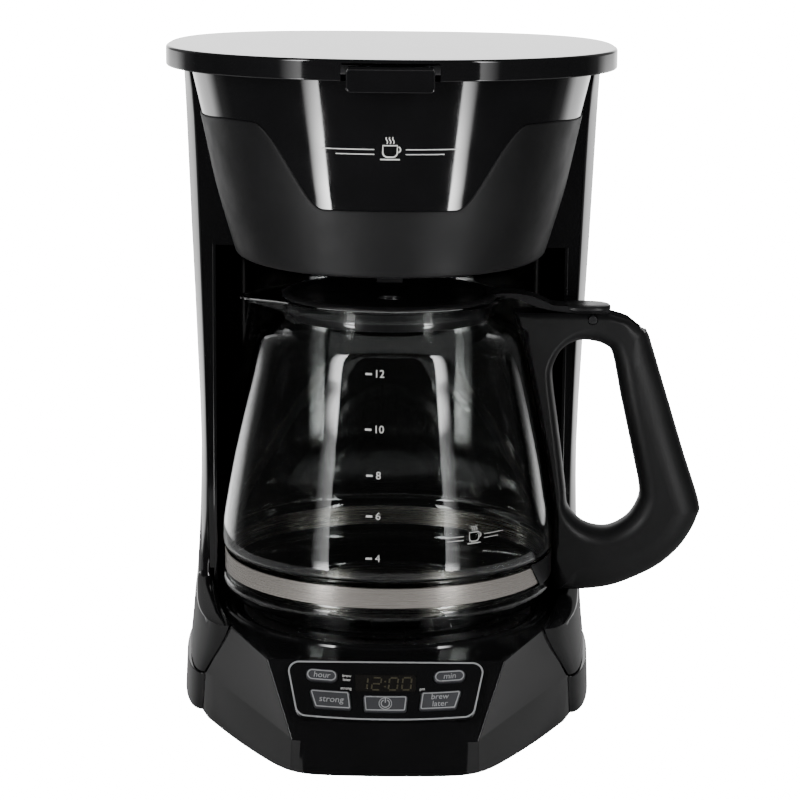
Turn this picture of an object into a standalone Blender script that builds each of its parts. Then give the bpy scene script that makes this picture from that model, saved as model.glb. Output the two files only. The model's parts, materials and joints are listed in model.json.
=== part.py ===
"""Drip coffee maker with a glass carafe, as an assembly of separate parts.

Every size is in millimetres in the machine's own frame: z = 0 is the table, the carafe's
axis is x = y = 0, and the front faces -Y. make_object() turns millimetres into metres.
The empty "machine_frame" moves the whole machine so that the origin is the middle of the
object's footprint.
"""
import math

import bmesh
import bpy
from mathutils import Matrix, Vector

# ---- driving dimensions, millimetres ----
GAP = 0.3                     # clearance between parts that touch
LID_HALF_WIDTH = 108.0
LID_FRONT_Y = -113.5
LID_REAR_Y = 113.5
LID_TOP_Z = 326.0
LID_RIM_HEIGHT = 9.5

LID_FRONT_POWER = 2.15        # squareness of the lid's plan in front and behind
LID_REAR_POWER = 2.8
TOWER_POWER = 2.5             # squareness of the tower's rear
TOWER_TURN_Y = 36.0           # where the tower's sides start to turn into its rear
TOWER_WALL = 3.0
CREST_HALF_WIDTH = 50.0       # half width of the tower's raised rear edge between the hinges
TOWER_REAR_Y = 104.0
TOWER_TOP_Z = 316.0
BASE_BOTTOM_Z = 0.8
SKIRT_Z = 19.6                # top of the base's skirt, where the tower starts
DECK_Z = 48.0
BASE_FRONT_Y = -124.9         # the base's front at its very bottom
SKIRT_FRONT_Y = -121.5        # and at the top of the skirt
PANEL_LOW = (-119.3, 26.0)    # y, z of the control panel's lower edge
PANEL_HIGH = (-97.8, 47.5)    # y, z of its upper edge

HEAD_FLOOR_Z = 226.0          # underside of the brew head
HEAD_REAR_Y = 16.0
BAY_HALF_WIDTH = 86.4
BAY_REAR_Y = 86.5

PLATE_RADIUS = 72.0
PLATE_TOP_Z = 47.0
RING_SEAT_Z = 46.2            # floor of the shallow seat for the ring round the plate
CARAFE_BOTTOM_Z = 47.4
RIM_TOP_Z = 203.5
BAND_Z = (67.7, 77.7)
BAND_RADIUS = 81.2
HANDLE_HALF_WIDTH = 12.5
SLOT_HALF_WIDTH = 8.3
LID_PIN = (98.9, 194.4)       # x, z of the carafe lid's pin, along y
HANDLE_REACH = 155.2

BASKET_Y = -26.0
TANK_TOP_Z = 307.0
CORD_Z = 44.0
HINGE_Y = 108.0               # y, z of the top lid's hinge axis, along x
HINGE_Z = 319.0
LEVER_PIN = (59.6, 219.0)     # y, z of the drip-stop lever's pin, along x

FEED_AT = (-30.0, 91.0)       # x, y of the cold water tube, behind the bay
RISER_AT = (40.0, 88.5)       # x, y of the hot water tube

SHIFT_X = -(HANDLE_REACH - LID_HALF_WIDTH) / 2
SHIFT_Y = -(BASE_FRONT_Y + LID_REAR_Y) / 2

# ---- colours: red, green, blue, roughness, metallic ----
GLOSS_BLACK = (0.010, 0.010, 0.011, 0.12, 0.0)
MATTE_BLACK = (0.030, 0.030, 0.032, 0.55, 0.0)
SATIN_BLACK = (0.022, 0.022, 0.024, 0.42, 0.0)
DARK_GREY = (0.075, 0.075, 0.085, 0.50, 0.0)
INNER_GREY = (0.16, 0.16, 0.17, 0.50, 0.0)
RUBBER = (0.025, 0.025, 0.025, 0.85, 0.0)
SILICONE = (0.62, 0.62, 0.60, 0.60, 0.0)
GLASS = (0.92, 0.94, 0.94, 0.03, 0.0)
SMOKED = (0.035, 0.035, 0.040, 0.08, 0.0)
STEEL = (0.62, 0.60, 0.58, 0.28, 1.0)
ALUMINIUM = (0.72, 0.72, 0.74, 0.40, 1.0)
COATED_STEEL = (0.020, 0.020, 0.021, 0.38, 0.3)
BOARD_GREEN = (0.020, 0.110, 0.045, 0.50, 0.0)

ROUND = 44                    # segments of a large round part
FINE = 14                     # segments of a small round part


# ---- plain helpers ----
def make_material(name, finish):
    material = bpy.data.materials.new(name)
    material.use_nodes = True
    shader = material.node_tree.nodes["Principled BSDF"]
    shader.inputs["Base Color"].default_value = (finish[0], finish[1], finish[2], 1.0)
    shader.inputs["Roughness"].default_value = finish[3]
    shader.inputs["Metallic"].default_value = finish[4]
    return material


def make_object(name, verts, faces, finish, parent, pivot=(0.0, 0.0, 0.0), smooth=True):
    """A closed mesh in millimetres becomes an object in metres with its origin at pivot."""
    mesh = bpy.data.meshes.new(name)
    base = Vector(pivot)
    mesh.from_pydata([tuple((Vector(v) - base) / 1000.0) for v in verts], [], faces)
    work = bmesh.new()
    work.from_mesh(mesh)
    bmesh.ops.recalc_face_normals(work, faces=work.faces)
    work.to_mesh(mesh)
    work.free()
    if smooth:
        mesh.shade_smooth()
        mesh.set_sharp_from_angle(angle=math.radians(35))
    mesh.materials.append(make_material(name + "_finish", finish))
    obj = bpy.data.objects.new(name, mesh)
    bpy.context.scene.collection.objects.link(obj)
    obj.parent = parent
    parent_pivot = Vector(parent.get("pivot_mm", (0.0, 0.0, 0.0)))
    obj.location = (base - parent_pivot) / 1000.0
    return obj


def make_pivot(name, pivot, parent):
    """An empty on a joint's axis, which carries the pieces that move together."""
    empty = bpy.data.objects.new(name, None)
    bpy.context.scene.collection.objects.link(empty)
    empty.parent = parent
    parent_pivot = Vector(parent.get("pivot_mm", (0.0, 0.0, 0.0)))
    empty.location = (Vector(pivot) - parent_pivot) / 1000.0
    empty["pivot_mm"] = pivot
    return empty


def combine(target, name, verts, faces, operation):
    """Cut a solid, given in the machine's millimetres, out of target or weld it on."""
    holder = target.parent
    pivot = target.location * 1000.0 + Vector(holder.get("pivot_mm", (0.0, 0.0, 0.0)))
    guide = make_object(name, verts, faces, INNER_GREY, holder, tuple(pivot), smooth=False)
    guide.hide_render = True
    guide.display_type = "WIRE"
    modifier = target.modifiers.new(name, "BOOLEAN")
    modifier.operation = operation
    modifier.solver = "EXACT"
    modifier.object = guide


def cut(target, name, verts, faces):
    combine(target, name, verts, faces, "DIFFERENCE")


def weld(target, name, verts, faces):
    combine(target, name, verts, faces, "UNION")


def bevel(obj, width, segments=2, angle=30):
    modifier = obj.modifiers.new("edge_rounding", "BEVEL")
    modifier.width = width / 1000.0
    modifier.segments = segments
    modifier.limit_method = "ANGLE"
    modifier.angle_limit = math.radians(angle)


def join(*solids):
    """Put several separate solids into one list of vertices and faces."""
    verts = []
    faces = []
    for solid_verts, solid_faces in solids:
        start = len(verts)
        verts.extend(solid_verts)
        faces.extend([tuple(start + i for i in face) for face in solid_faces])
    return verts, faces


def loft(rings):
    """Closed solid through rings of equal length, capped at both ends."""
    count = len(rings[0])
    verts = [point for ring in rings for point in ring]
    faces = []
    for level in range(len(rings) - 1):
        for i in range(count):
            j = (i + 1) % count
            low = level * count
            high = low + count
            faces.append((low + i, low + j, high + j, high + i))
    faces.append(tuple(reversed(range(count))))
    last = (len(rings) - 1) * count
    faces.append(tuple(range(last, last + count)))
    return verts, faces


def cup(outer_rings, inner_rings):
    """Hollow solid, open at its first ring and closed at its last."""
    count = len(outer_rings[0])
    verts = [point for ring in outer_rings for point in ring]
    inner_start = len(verts)
    verts.extend([point for ring in inner_rings for point in ring])
    faces = []
    for start, rings in ((0, outer_rings), (inner_start, inner_rings)):
        for level in range(len(rings) - 1):
            for i in range(count):
                j = (i + 1) % count
                low = start + level * count
                high = low + count
                faces.append((low + i, low + j, high + j, high + i))
        last = start + (len(rings) - 1) * count
        faces.append(tuple(range(last, last + count)))
    for i in range(count):
        j = (i + 1) % count
        faces.append((i, j, inner_start + j, inner_start + i))
    return verts, faces


def strip(levels):
    """Wall with an open plan: each level is (outer points, inner points)."""
    count = len(levels[0][0])
    verts = []
    for outer, inner in levels:
        verts.extend(outer)
        verts.extend(inner)
    step = 2 * count
    faces = []
    for level in range(len(levels) - 1):
        low = level * step
        high = low + step
        for i in range(count - 1):
            faces.append((low + i, low + i + 1, high + i + 1, high + i))
            faces.append((low + count + i + 1, low + count + i, high + count + i, high + count + i + 1))
        faces.append((low + count, low, high, high + count))
        end = count - 1
        faces.append((low + end, low + count + end, high + count + end, high + end))
    top = (len(levels) - 1) * step
    for i in range(count - 1):
        faces.append((i + 1, i, count + i, count + i + 1))
        faces.append((top + i, top + i + 1, top + count + i + 1, top + count + i))
    return verts, faces


def ring_at(radius, z, centre=(0.0, 0.0), segments=ROUND):
    turn = 2 * math.pi / segments
    return [(centre[0] + radius * math.cos(i * turn), centre[1] + radius * math.sin(i * turn), z)
            for i in range(segments)]


def lathe(profile, centre=(0.0, 0.0), segments=ROUND):
    """Turn a closed profile of (radius, z) points that stays off the axis."""
    verts = []
    for radius, z in profile:
        verts.extend(ring_at(radius, z, centre, segments))
    faces = []
    levels = len(profile)
    for level in range(levels):
        low = level * segments
        high = ((level + 1) % levels) * segments
        for i in range(segments):
            j = (i + 1) % segments
            faces.append((low + i, low + j, high + j, high + i))
    return verts, faces


def turned(profile, centre=(0.0, 0.0), segments=ROUND):
    """Turn an open profile of (radius, z) points, closed flat at both ends."""
    return loft([ring_at(radius, z, centre, segments) for radius, z in profile])


def block(low, high):
    ring = [(low[0], low[1]), (high[0], low[1]), (high[0], high[1]), (low[0], high[1])]
    return loft([[(x, y, z) for x, y in ring] for z in (low[2], high[2])])


def cylinder(start, end, radius, segments=FINE):
    """Round bar between two points."""
    a = Vector(start)
    b = Vector(end)
    turn = Vector((0.0, 0.0, 1.0)).rotation_difference(b - a)
    rings = []
    for middle in (a, b):
        rings.append([tuple(middle + turn @ Vector(point))
                      for point in ring_at(radius, 0.0, segments=segments)])
    return loft(rings)


def pipe(start, end, outer, inner, segments=FINE):
    """Round sleeve between two points."""
    a = Vector(start)
    b = Vector(end)
    turn = Vector((0.0, 0.0, 1.0)).rotation_difference(b - a)
    verts, faces = lathe([(outer, 0.0), (outer, (b - a).length), (inner, (b - a).length),
                          (inner, 0.0)], segments=segments)
    return [tuple(a + turn @ Vector(v)) for v in verts], faces


def path_tube(name, points, radius, finish, parent, sides=2):
    """Tube or wire along points, as a curve with a round bevel and filled ends."""
    curve = bpy.data.curves.new(name, "CURVE")
    curve.dimensions = "3D"
    curve.bevel_depth = radius / 1000.0
    curve.bevel_resolution = sides
    curve.use_fill_caps = True
    spline = curve.splines.new("POLY")
    spline.points.add(len(points) - 1)
    for target, point in zip(spline.points, points):
        target.co = (point[0] / 1000.0, point[1] / 1000.0, point[2] / 1000.0, 1.0)
    curve.materials.append(make_material(name + "_finish", finish))
    obj = bpy.data.objects.new(name, curve)
    bpy.context.scene.collection.objects.link(obj)
    obj.parent = parent
    parent_pivot = Vector(parent.get("pivot_mm", (0.0, 0.0, 0.0)))
    obj.location = -parent_pivot / 1000.0
    return obj


def spline_through(points, steps):
    """Points on a smooth Catmull-Rom curve through the given points."""
    ends = [Vector(points[0])] + [Vector(p) for p in points] + [Vector(points[-1])]
    result = []
    for i in range(1, len(ends) - 2):
        a, b, c, d = ends[i - 1:i + 3]
        for k in range(steps):
            t = k / steps
            result.append(0.5 * (2 * b + (c - a) * t + (2 * a - 5 * b + 4 * c - d) * t * t
                                 + (3 * b - a - 3 * c + d) * t ** 3))
    result.append(ends[-2])
    return [tuple(p) for p in result]


def table(points, value):
    """Read y at value from (x, y) points in rising x, by straight lines."""
    for (x0, y0), (x1, y1) in zip(points, points[1:]):
        if value <= x1:
            share = max(0.0, (value - x0) / (x1 - x0))
            return y0 + (y1 - y0) * share
    return points[-1][1]


def ease(value):
    value = min(1.0, max(0.0, value))
    return value * value * (3 - 2 * value)


def offset_path(points, distance, closed=False):
    """Move a plan path to the left of its direction by distance."""
    count = len(points)
    result = []
    for i, (x, y) in enumerate(points):
        before = points[(i - 1) % count] if (closed or i > 0) else points[i]
        after = points[(i + 1) % count] if (closed or i < count - 1) else points[i]
        run = Vector((after[0] - before[0], after[1] - before[1])).normalized()
        result.append((x - run.y * distance, y + run.x * distance))
    return result


def at_height(points, z):
    return [(x, y, z) for x, y in points]


def superellipse(half_x, front_y, rear_y, front_power, rear_power, segments=ROUND):
    """Closed oval plan with its own squareness in front and behind."""
    middle = (front_y + rear_y) / 2
    half_y = (rear_y - front_y) / 2
    points = []
    for i in range(segments):
        angle = 2 * math.pi * i / segments
        c = math.cos(angle)
        s = math.sin(angle)
        power = front_power if s < 0 else rear_power
        points.append((half_x * math.copysign(abs(c) ** (2 / power), c),
                       middle + half_y * math.copysign(abs(s) ** (2 / power), s)))
    return points


def rounded(points, radius, steps=4):
    """Round the corners of a closed plan outline."""
    result = []
    count = len(points)
    for i in range(count):
        corner = Vector(points[i])
        before = (Vector(points[i - 1]) - corner).normalized()
        after = (Vector(points[(i + 1) % count]) - corner).normalized()
        half = before.angle(after) / 2
        reach = radius / math.tan(half)
        centre = corner + (before + after).normalized() * (radius / math.sin(half))
        start = corner + before * reach - centre
        end = corner + after * reach - centre
        for k in range(steps + 1):
            ray = start.lerp(end, k / steps).normalized() * radius
            result.append(tuple(centre + ray))
    return result


# ---- tower: the tall C-shaped housing behind the carafe ----
TOWER_HALF_WIDTH = [(0, 103.6), (14, 102.0), (25, 100.8), (41, 99.2), (61, 97.8), (94, 96.3),
                    (122, 95.8), (146, 96.4), (175, 97.6), (199, 98.5), (247, 100.6), (286, 102.0),
                    (316, 103.4)]
TOWER_FRONT_X = [(20, 90.0), (48, 76.5), (50, 81.0), (52, 84.8), (54, 88.4), (55, 89.6), (58, 90.6),
                 (68, 91.0), (90, 91.4), (199, 93.2), (289, 96.0), (316, 99.6)]
TOWER_FRONT_Y = [(20, -31.5), (48, -45.0), (50, -31.0), (52, -14.0), (54, 6.0), (55, 14.0), (58, 17.0),
                 (90, 18.0), (316, 18.0)]


def tower_path(z, front=None, widen=0.0):
    """Right half of the tower's plan at height z, from its front edge to the rear middle."""
    half = table(TOWER_HALF_WIDTH, z) + widen
    front_x, front_y = front or (table(TOWER_FRONT_X, z), table(TOWER_FRONT_Y, z))
    points = []
    for i in range(6):
        angle = i / 5 * math.pi / 2
        points.append((front_x + (half - front_x) * math.sin(angle),
                       front_y + (TOWER_TURN_Y - front_y) * (1 - math.cos(angle))))
    for i in range(1, 13):
        angle = i / 12 * math.pi / 2
        depth = (TOWER_REAR_Y + widen - TOWER_TURN_Y) * math.sin(angle) ** (2 / TOWER_POWER)
        points.append((half * math.cos(angle) ** (2 / TOWER_POWER), TOWER_TURN_Y + depth))
    return points


def mirrored(half_path):
    """Whole path from the right half: right front, round the rear, to the left front."""
    return half_path + [(-x, y) for x, y in reversed(half_path[:-1])]


def build_tower(frame):
    levels = []
    for z in (20.4, 34.0, 47.8, 50.0, 52.0, 54.0, 55.0, 58.0, 68.0, 90.0, 122.0, 199.0, 267.0, 289.0,
              TOWER_TOP_Z):
        outer = mirrored(tower_path(z))
        inner = offset_path(outer, TOWER_WALL)
        levels.append((at_height(outer, z), at_height(inner, z)))
    tower = make_object("tower_shell", *strip(levels), GLOSS_BLACK, frame)
    window = block((90.0, 46.4, 127.0), (106.0, 57.6, 288.0))
    cut(tower, "window_cutter", *window)
    vents = []
    for row in range(5):
        z = 64.0 + 7.0 * row
        for side in (-1, 1):
            low, high = sorted((side * 22.0, side * 58.0))
            vents.append(block((low, 90.0, z), (high, 110.0, z + 2.5)))
    cut(tower, "vent_cutter", *join(*vents))
    rear = [(x, y) for x, y in mirrored(tower_path(TOWER_TOP_Z)) if abs(x) < CREST_HALF_WIDTH]
    crest = [(at_height(offset_path(rear, 0.2), z), at_height(offset_path(rear, TOWER_WALL - 0.2), z))
             for z in (308.0, LID_TOP_Z - 3.6)]
    weld(tower, "crest", *strip(crest))
    return tower


def build_hinge_ears(frame, tower):
    """Two pairs of ears moulded on the rear wall, and the pins they hold for the top lid."""
    for side, word in ((1, "right"), (-1, "left")):
        pieces = []
        for x, root_y in ((24.0, 101.4), (43.6, 98.4)):
            low, high = sorted((side * x, side * (x + 4.0)))
            outline = [(root_y, 296.0), (TOWER_REAR_Y + 1.0, 298.0), (HINGE_Y + 3.6, 313.0),
                       (HINGE_Y + 3.6, 321.5), (HINGE_Y + 1.5, 323.0), (HINGE_Y - 1.5, 323.0),
                       (root_y, 320.0)]
            pieces.append(loft([[(x_at, y, z) for y, z in outline] for x_at in (low, high)]))
        weld(tower, "hinge_ears_" + word, *join(*pieces))
        bore = cylinder((side * 20.0, HINGE_Y, HINGE_Z), (side * 52.0, HINGE_Y, HINGE_Z), 1.55)
        cut(tower, "pin_bore_" + word, *bore)
        pin = cylinder((side * 24.2, HINGE_Y, HINGE_Z), (side * 47.4, HINGE_Y, HINGE_Z), 1.5)
        make_object("lid_hinge_pin_" + word, *pin, STEEL, frame)


# ---- base ----
def base_half(level):
    """Right half of the base's plan: front face, facet and groove, then the path behind."""
    facet_low = (Vector((43.0, -118.0, 16.0)), Vector((88.9, -33.4, 20.2)))
    facet_high = (Vector((55.5, -96.0, 47.6)), Vector((75.7, -46.6, DECK_Z)))
    if level == "bottom":
        front = [(0.0, BASE_FRONT_Y), (24.0, -124.0), (43.5, -119.0), (65.0, -87.8), (90.0, -36.0)]
        return at_height(front + tower_path(SKIRT_Z, front=(91.0, -31.5), widen=2.0), BASE_BOTTOM_Z)
    if level == "skirt":
        front = [(0.0, SKIRT_FRONT_Y, 16.0), (22.0, -120.8, 16.0), facet_low[0],
                 facet_low[0].lerp(facet_low[1], 0.5), facet_low[1]]
        path = tower_path(SKIRT_Z, front=(90.0, -31.5), widen=1.2)
        return [tuple(p) for p in front] + at_height(path, SKIRT_Z)
    if level == "ledge":
        share = 0.04
        front = [(0.0, SKIRT_FRONT_Y + 0.1, 17.0), (22.0, -120.6, 17.0)]
        z_path = SKIRT_Z + 0.2
    elif level == "panel_low":
        share = 0.32
        front = [(0.0, PANEL_LOW[0], PANEL_LOW[1]), (22.0, PANEL_LOW[0], PANEL_LOW[1])]
        z_path = 26.0
    else:
        share = 1.0
        front = [(0.0, PANEL_HIGH[0], PANEL_HIGH[1]), (22.0, PANEL_HIGH[0], PANEL_HIGH[1])]
        z_path = DECK_Z
    corner = facet_low[0].lerp(facet_high[0], share)
    end = facet_low[1].lerp(facet_high[1], share)
    points = front + [tuple(corner), tuple(corner.lerp(end, 0.5)), tuple(end)]
    path = tower_path(max(z_path, 20.4))
    inset = offset_path(mirrored(path), TOWER_WALL + 1.0)[:len(path)]
    away = (Vector(path[0]) - Vector(path[1])).normalized()
    inset[0] = tuple(Vector(inset[0]) + away * 1.4)
    points.extend([(x, y, z_path) for x, y in inset])
    return points


def whole_ring(half):
    """Mirror a half outline whose first and last points lie on the middle plane."""
    return half + [(-x, y, z) for x, y, z in reversed(half[1:-1])]


def build_base(frame):
    rings = [whole_ring(base_half(level)) for level in ("bottom", "skirt", "ledge", "panel_low", "deck")]
    base = make_object("base_shell", *loft(rings), GLOSS_BLACK, frame)
    bevel(base, 1.4, 1)
    low_inner = offset_path([(x, y) for x, y, _ in whole_ring(base_half("skirt"))], 4.2, closed=True)
    high_inner = []
    for (x, y), (_, deck_y, _) in zip(low_inner, rings[-1]):
        pull = 0.82 if deck_y < 40.0 else 0.93
        high_inner.append((x * pull, max(y * 0.86, -88.0)))
    hollow = loft([at_height(low_inner, -2.0), at_height(low_inner, 15.0), at_height(high_inner, 44.6)])
    cut(base, "hollow_cutter", *hollow)
    cut(base, "plate_cutter", *turned([(PLATE_RADIUS + GAP, 40.0), (PLATE_RADIUS + GAP, 60.0)]))
    cut(base, "ring_seat", *turned([(82.0, RING_SEAT_Z), (82.0, 60.0)]))
    cut(base, "tube_cutter", *join(cylinder((*FEED_AT, 20.0), (*FEED_AT, 60.0), 6.2),
                                   cylinder((*RISER_AT, 20.0), (*RISER_AT, 60.0), 6.2)))
    return base


def panel_point(u, v, out=0.0):
    """Point on the sloped control panel: u along x, v up the slope, out along its normal."""
    middle_y = (PANEL_LOW[0] + PANEL_HIGH[0]) / 2
    middle_z = (PANEL_LOW[1] + PANEL_HIGH[1]) / 2
    slope = math.sqrt(0.5)
    return (u, middle_y + (v - out) * slope, middle_z + (v + out) * slope)


def panel_prism(outline, low, high):
    return loft([[panel_point(u, v, out) for u, v in outline] for out in (low, high)])


PANEL_OUTLINE = [(-40.6, -13.9), (40.6, -13.9), (46.2, 13.9), (-46.2, 13.9)]
KEYS = {
    "hour_button": ([(-36.9, 4.7), (-22.3, 4.7), (-22.3, 11.0), (-36.9, 11.0)], 3.1),
    "min_button": ([(22.3, 4.7), (36.9, 4.7), (36.9, 11.0), (22.3, 11.0)], 3.1),
    "strong_button": ([(-32.4, -9.0), (-15.4, -9.0), (-16.6, 0.4), (-35.4, 0.4)], 1.4),
    "power_button": ([(-9.6, -9.6), (9.6, -9.6), (10.4, -1.2), (-10.4, -1.2)], 1.4),
    "brew_later_button": ([(15.4, -9.0), (32.4, -9.0), (35.4, 0.4), (16.6, 0.4)], 1.4),
}
WINDOW = [(-14.0, 1.0), (14.0, 1.0), (14.0, 9.6), (-14.0, 9.6)]


def grown(outline, distance):
    """Outline grown outwards by distance."""
    return offset_path(outline, -distance, closed=True)


def build_panel(frame, base):
    recess = panel_prism(rounded(grown(PANEL_OUTLINE, GAP), 5.3), -1.5, 6.0)
    cut(base, "panel_recess", *recess)
    outline = rounded(PANEL_OUTLINE, 5.0)
    panel = make_object("control_panel", *panel_prism(outline, -1.2, 0.35), GLOSS_BLACK, frame)
    holes = []
    for corners, radius in KEYS.values():
        key_shape = rounded(corners, radius)
        holes.append(panel_prism(grown(key_shape, 0.4), -8.0, 5.0))
    holes.append(panel_prism(grown(rounded(WINDOW, 1.2), GAP), -8.0, 5.0))
    cut(panel, "key_holes", *join(*holes))
    wells = [panel_prism(rounded([(-38.4, -10.8), (38.4, -10.8), (38.4, 12.0), (-38.4, 12.0)], 2.0),
                         -8.0, 1.0)]
    cut(base, "key_well", *join(*wells))
    for name, (corners, radius) in KEYS.items():
        middle_u = sum(u for u, _ in corners) / 4
        middle_v = sum(v for _, v in corners) / 4
        shape = rounded(corners, radius)
        crown = grown(shape, -0.5)
        rings = [[panel_point(u, v, -3.0) for u, v in shape],
                 [panel_point(u, v, 0.85) for u, v in shape],
                 [panel_point(u, v, 1.25) for u, v in crown]]
        make_object(name, *loft(rings), DARK_GREY, frame, panel_point(middle_u, middle_v))
    glass = panel_prism(rounded(WINDOW, 1.2), -1.6, 0.3)
    make_object("display_window", *glass, SMOKED, frame)
    board = panel_prism(rounded([(-37.0, -9.8), (37.0, -9.8), (37.0, 11.0), (-37.0, 11.0)], 1.5),
                        -6.2, -4.6)
    make_object("control_board", *board, BOARD_GREEN, frame)


def build_underside(frame):
    """Bottom cover, four rubber feet and four screws."""
    path = base_half("skirt")
    inner = offset_path([(x, y) for x, y, _ in whole_ring(path)], 4.6, closed=True)
    cover = make_object("bottom_cover", *loft([at_height(inner, 1.6), at_height(inner, 3.8)]),
                        SATIN_BLACK, frame)
    slots = [block((x - 1.5, 20.0, 0.0), (x + 1.5, 60.0, 6.0)) for x in (-20.0, -10.0, 0.0, 10.0, 20.0)]
    corners = [(-34.0, -100.0), (34.0, -100.0), (-78.0, 66.0), (78.0, 66.0)]
    bores = []
    for x, y in corners:
        inward = 16.0 if x < 0 else -16.0
        bores.append(cylinder((x, y, -1.0), (x, y, 6.0), 4.3))
        bores.append(cylinder((x + inward, y, -1.0), (x + inward, y, 6.0), 1.8))
    cut(cover, "cover_holes", *join(*slots, *bores))
    for number, (x, y) in enumerate(corners, start=1):
        foot = turned([(7.4, 0.0), (8.0, 0.6), (8.0, 1.3), (4.0, 1.3), (4.0, 4.2), (4.9, 4.3), (4.4, 5.4)],
                      (x, y), FINE)
        make_object(f"foot_{number}", *foot, RUBBER, frame)
        inward = 16.0 if x < 0 else -16.0
        screw = turned([(2.4, 0.9), (3.0, 1.3), (1.5, 1.31), (1.5, 11.0)], (x + inward, y), FINE)
        make_object(f"bottom_screw_{number}", *screw, STEEL, frame)


def build_heater(frame):
    """Warming plate, its ring, and the heater, thermostat and fuse under it."""
    plate = turned([(10.0, 45.0), (PLATE_RADIUS - 2.0, 45.0), (PLATE_RADIUS - 2.0, 41.0),
                    (PLATE_RADIUS, 41.0), (PLATE_RADIUS, 46.4), (PLATE_RADIUS - 0.8, PLATE_TOP_Z)])
    make_object("warming_plate", *plate, COATED_STEEL, frame)
    low = RING_SEAT_Z + GAP
    ring = lathe([(PLATE_RADIUS + 0.8, low), (81.5, low), (81.5, 48.3), (80.3, 48.8), (78.0, 48.9),
                  (75.4, 48.2), (PLATE_RADIUS + 0.8, 47.4)])
    make_object("plate_ring", *ring, GLOSS_BLACK, frame)
    turns = []
    for i in range(25):
        angle = math.radians(-60 + 300 * i / 24)
        turns.append((46.0 * math.cos(angle), 46.0 * math.sin(angle), 39.2))
    start, end = turns[0], turns[-1]
    route = [(start[0] - 6.0, start[1] - 14.0, 39.2)] + turns + [(end[0] + 6.0, end[1] - 14.0, 39.2)]
    path_tube("heating_element", route, 4.0, ALUMINIUM, frame)
    clamp = block((-60.0, -4.0, 33.4), (60.0, 4.0, 34.9))
    make_object("heater_clamp", *clamp, STEEL, frame)
    thermostat = turned([(7.0, 36.0), (7.0, 41.0), (9.0, 41.2), (9.0, 44.5)], (0.0, 18.0), FINE)
    make_object("thermostat", *thermostat, INNER_GREY, frame)
    make_object("thermal_fuse", *cylinder((-12.0, -20.0, 42.5), (12.0, -20.0, 42.5), 1.9), STEEL, frame)
    x, y = RISER_AT
    riser = spline_through([(x - 4.0, y - 27.0, 29.0), (x - 3.0, y - 17.0, 29.6), (x - 1.2, y - 6.5, 34.0),
                            (x, y, 45.0), (x, y, 62.0), (x, y, 110.0), (x, y, 170.0), (x, y, 230.0),
                            (x, y, 280.0), (x - 1.0, y - 2.0, 298.0), (x - 6.0, y - 12.0, 309.0),
                            (x - 16.0, y - 34.0, 312.0), (x - 34.0, y - 84.0, 312.0)], 3)
    path_tube("hot_water_riser", riser, 3.6, SILICONE, frame)
    x, y = FEED_AT
    feed = spline_through([(x, y, 62.0), (x, y, 44.0), (x + 3.0, y - 14.0, 28.0),
                           (x + 18.0, y - 28.0, 27.0)], 5)
    path_tube("cold_water_tube", feed, 4.5, SILICONE, frame)
    valve = turned([(3.4, 62.4), (4.8, 63.4), (4.8, 72.0), (3.4, 73.0), (3.4, 76.0)], FEED_AT, FINE)
    make_object("check_valve", *valve, INNER_GREY, frame)


# ---- bay, tank and brew head ----
def bay_path(grow=0.0, count=28):
    """Plan of the hollow behind the carafe, from right front round to left front."""
    points = []
    for i in range(count + 1):
        angle = math.pi * i / count
        points.append(((BAY_HALF_WIDTH + grow) * math.cos(angle),
                       HEAD_REAR_Y + (BAY_REAR_Y - HEAD_REAR_Y + grow) * math.sin(angle)))
    return points


def build_bay_wall(frame):
    levels = []
    for z in (DECK_Z + GAP, 90.0, 160.0, HEAD_FLOOR_Z - GAP):
        levels.append((at_height(bay_path(1.8), z), at_height(bay_path(), z)))
    make_object("bay_wall", *strip(levels), GLOSS_BLACK, frame)


def tank_ring(z, inset=0.0):
    """Closed plan of the water tank: a straight front and a rear that follows the tower."""
    half = table(TOWER_HALF_WIDTH, z) - TOWER_WALL - 1.6 - inset
    rear = TOWER_REAR_Y - TOWER_WALL - 1.2 - inset
    front = TOWER_TURN_Y + inset
    points = []
    for i in range(21):
        angle = math.pi * i / 20
        c = math.cos(angle)
        x = half * math.copysign(abs(c) ** (2 / TOWER_POWER), c)
        y = front + (rear - front) * math.sin(angle) ** (2 / TOWER_POWER)
        points.append((x, y, z))
    return points


def build_tank(frame):
    """Open tank in the tower above the bay, its hose, and the level window on the right."""
    levels = (TANK_TOP_Z, 240.0, HEAD_FLOOR_Z + 5.0)
    outer = [tank_ring(z) for z in levels]
    inner = [tank_ring(z, 2.0) for z in levels[:-1]]
    inner.append(tank_ring(HEAD_FLOOR_Z + 7.0, 2.0))
    tank = make_object("water_tank", *cup(outer, inner), INNER_GREY, frame)
    cut(tank, "outlet_cutter", *cylinder((*FEED_AT, 220.0), (*FEED_AT, 240.0), 3.0))
    cut(tank, "riser_cutter", *cylinder((*RISER_AT, 220.0), (*RISER_AT, 240.0), 4.2))
    hose = pipe((*FEED_AT, 76.4), (*FEED_AT, HEAD_FLOOR_Z + 4.6), 4.6, 3.0)
    make_object("tank_hose", *hose, SILICONE, frame)
    rings = []
    for z in (127.4, 170.0, 210.0, 250.0, 287.6):
        x = table(TOWER_HALF_WIDTH, z)
        rings.append([(x - 3.4, 46.8, z), (x + 0.5, 46.8, z), (x + 0.5, 57.2, z), (x - 3.4, 57.2, z)])
    make_object("water_window", *loft(rings), SMOKED, frame)


HEAD_HALF_WIDTH = [(226, 76.0), (240, 80.2), (260, 85.8), (289, 92.0), (316, 98.0)]
HEAD_FRONT_Y = [(226, -90.0), (260, -96.0), (289, -100.0), (316, -103.5)]


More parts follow.
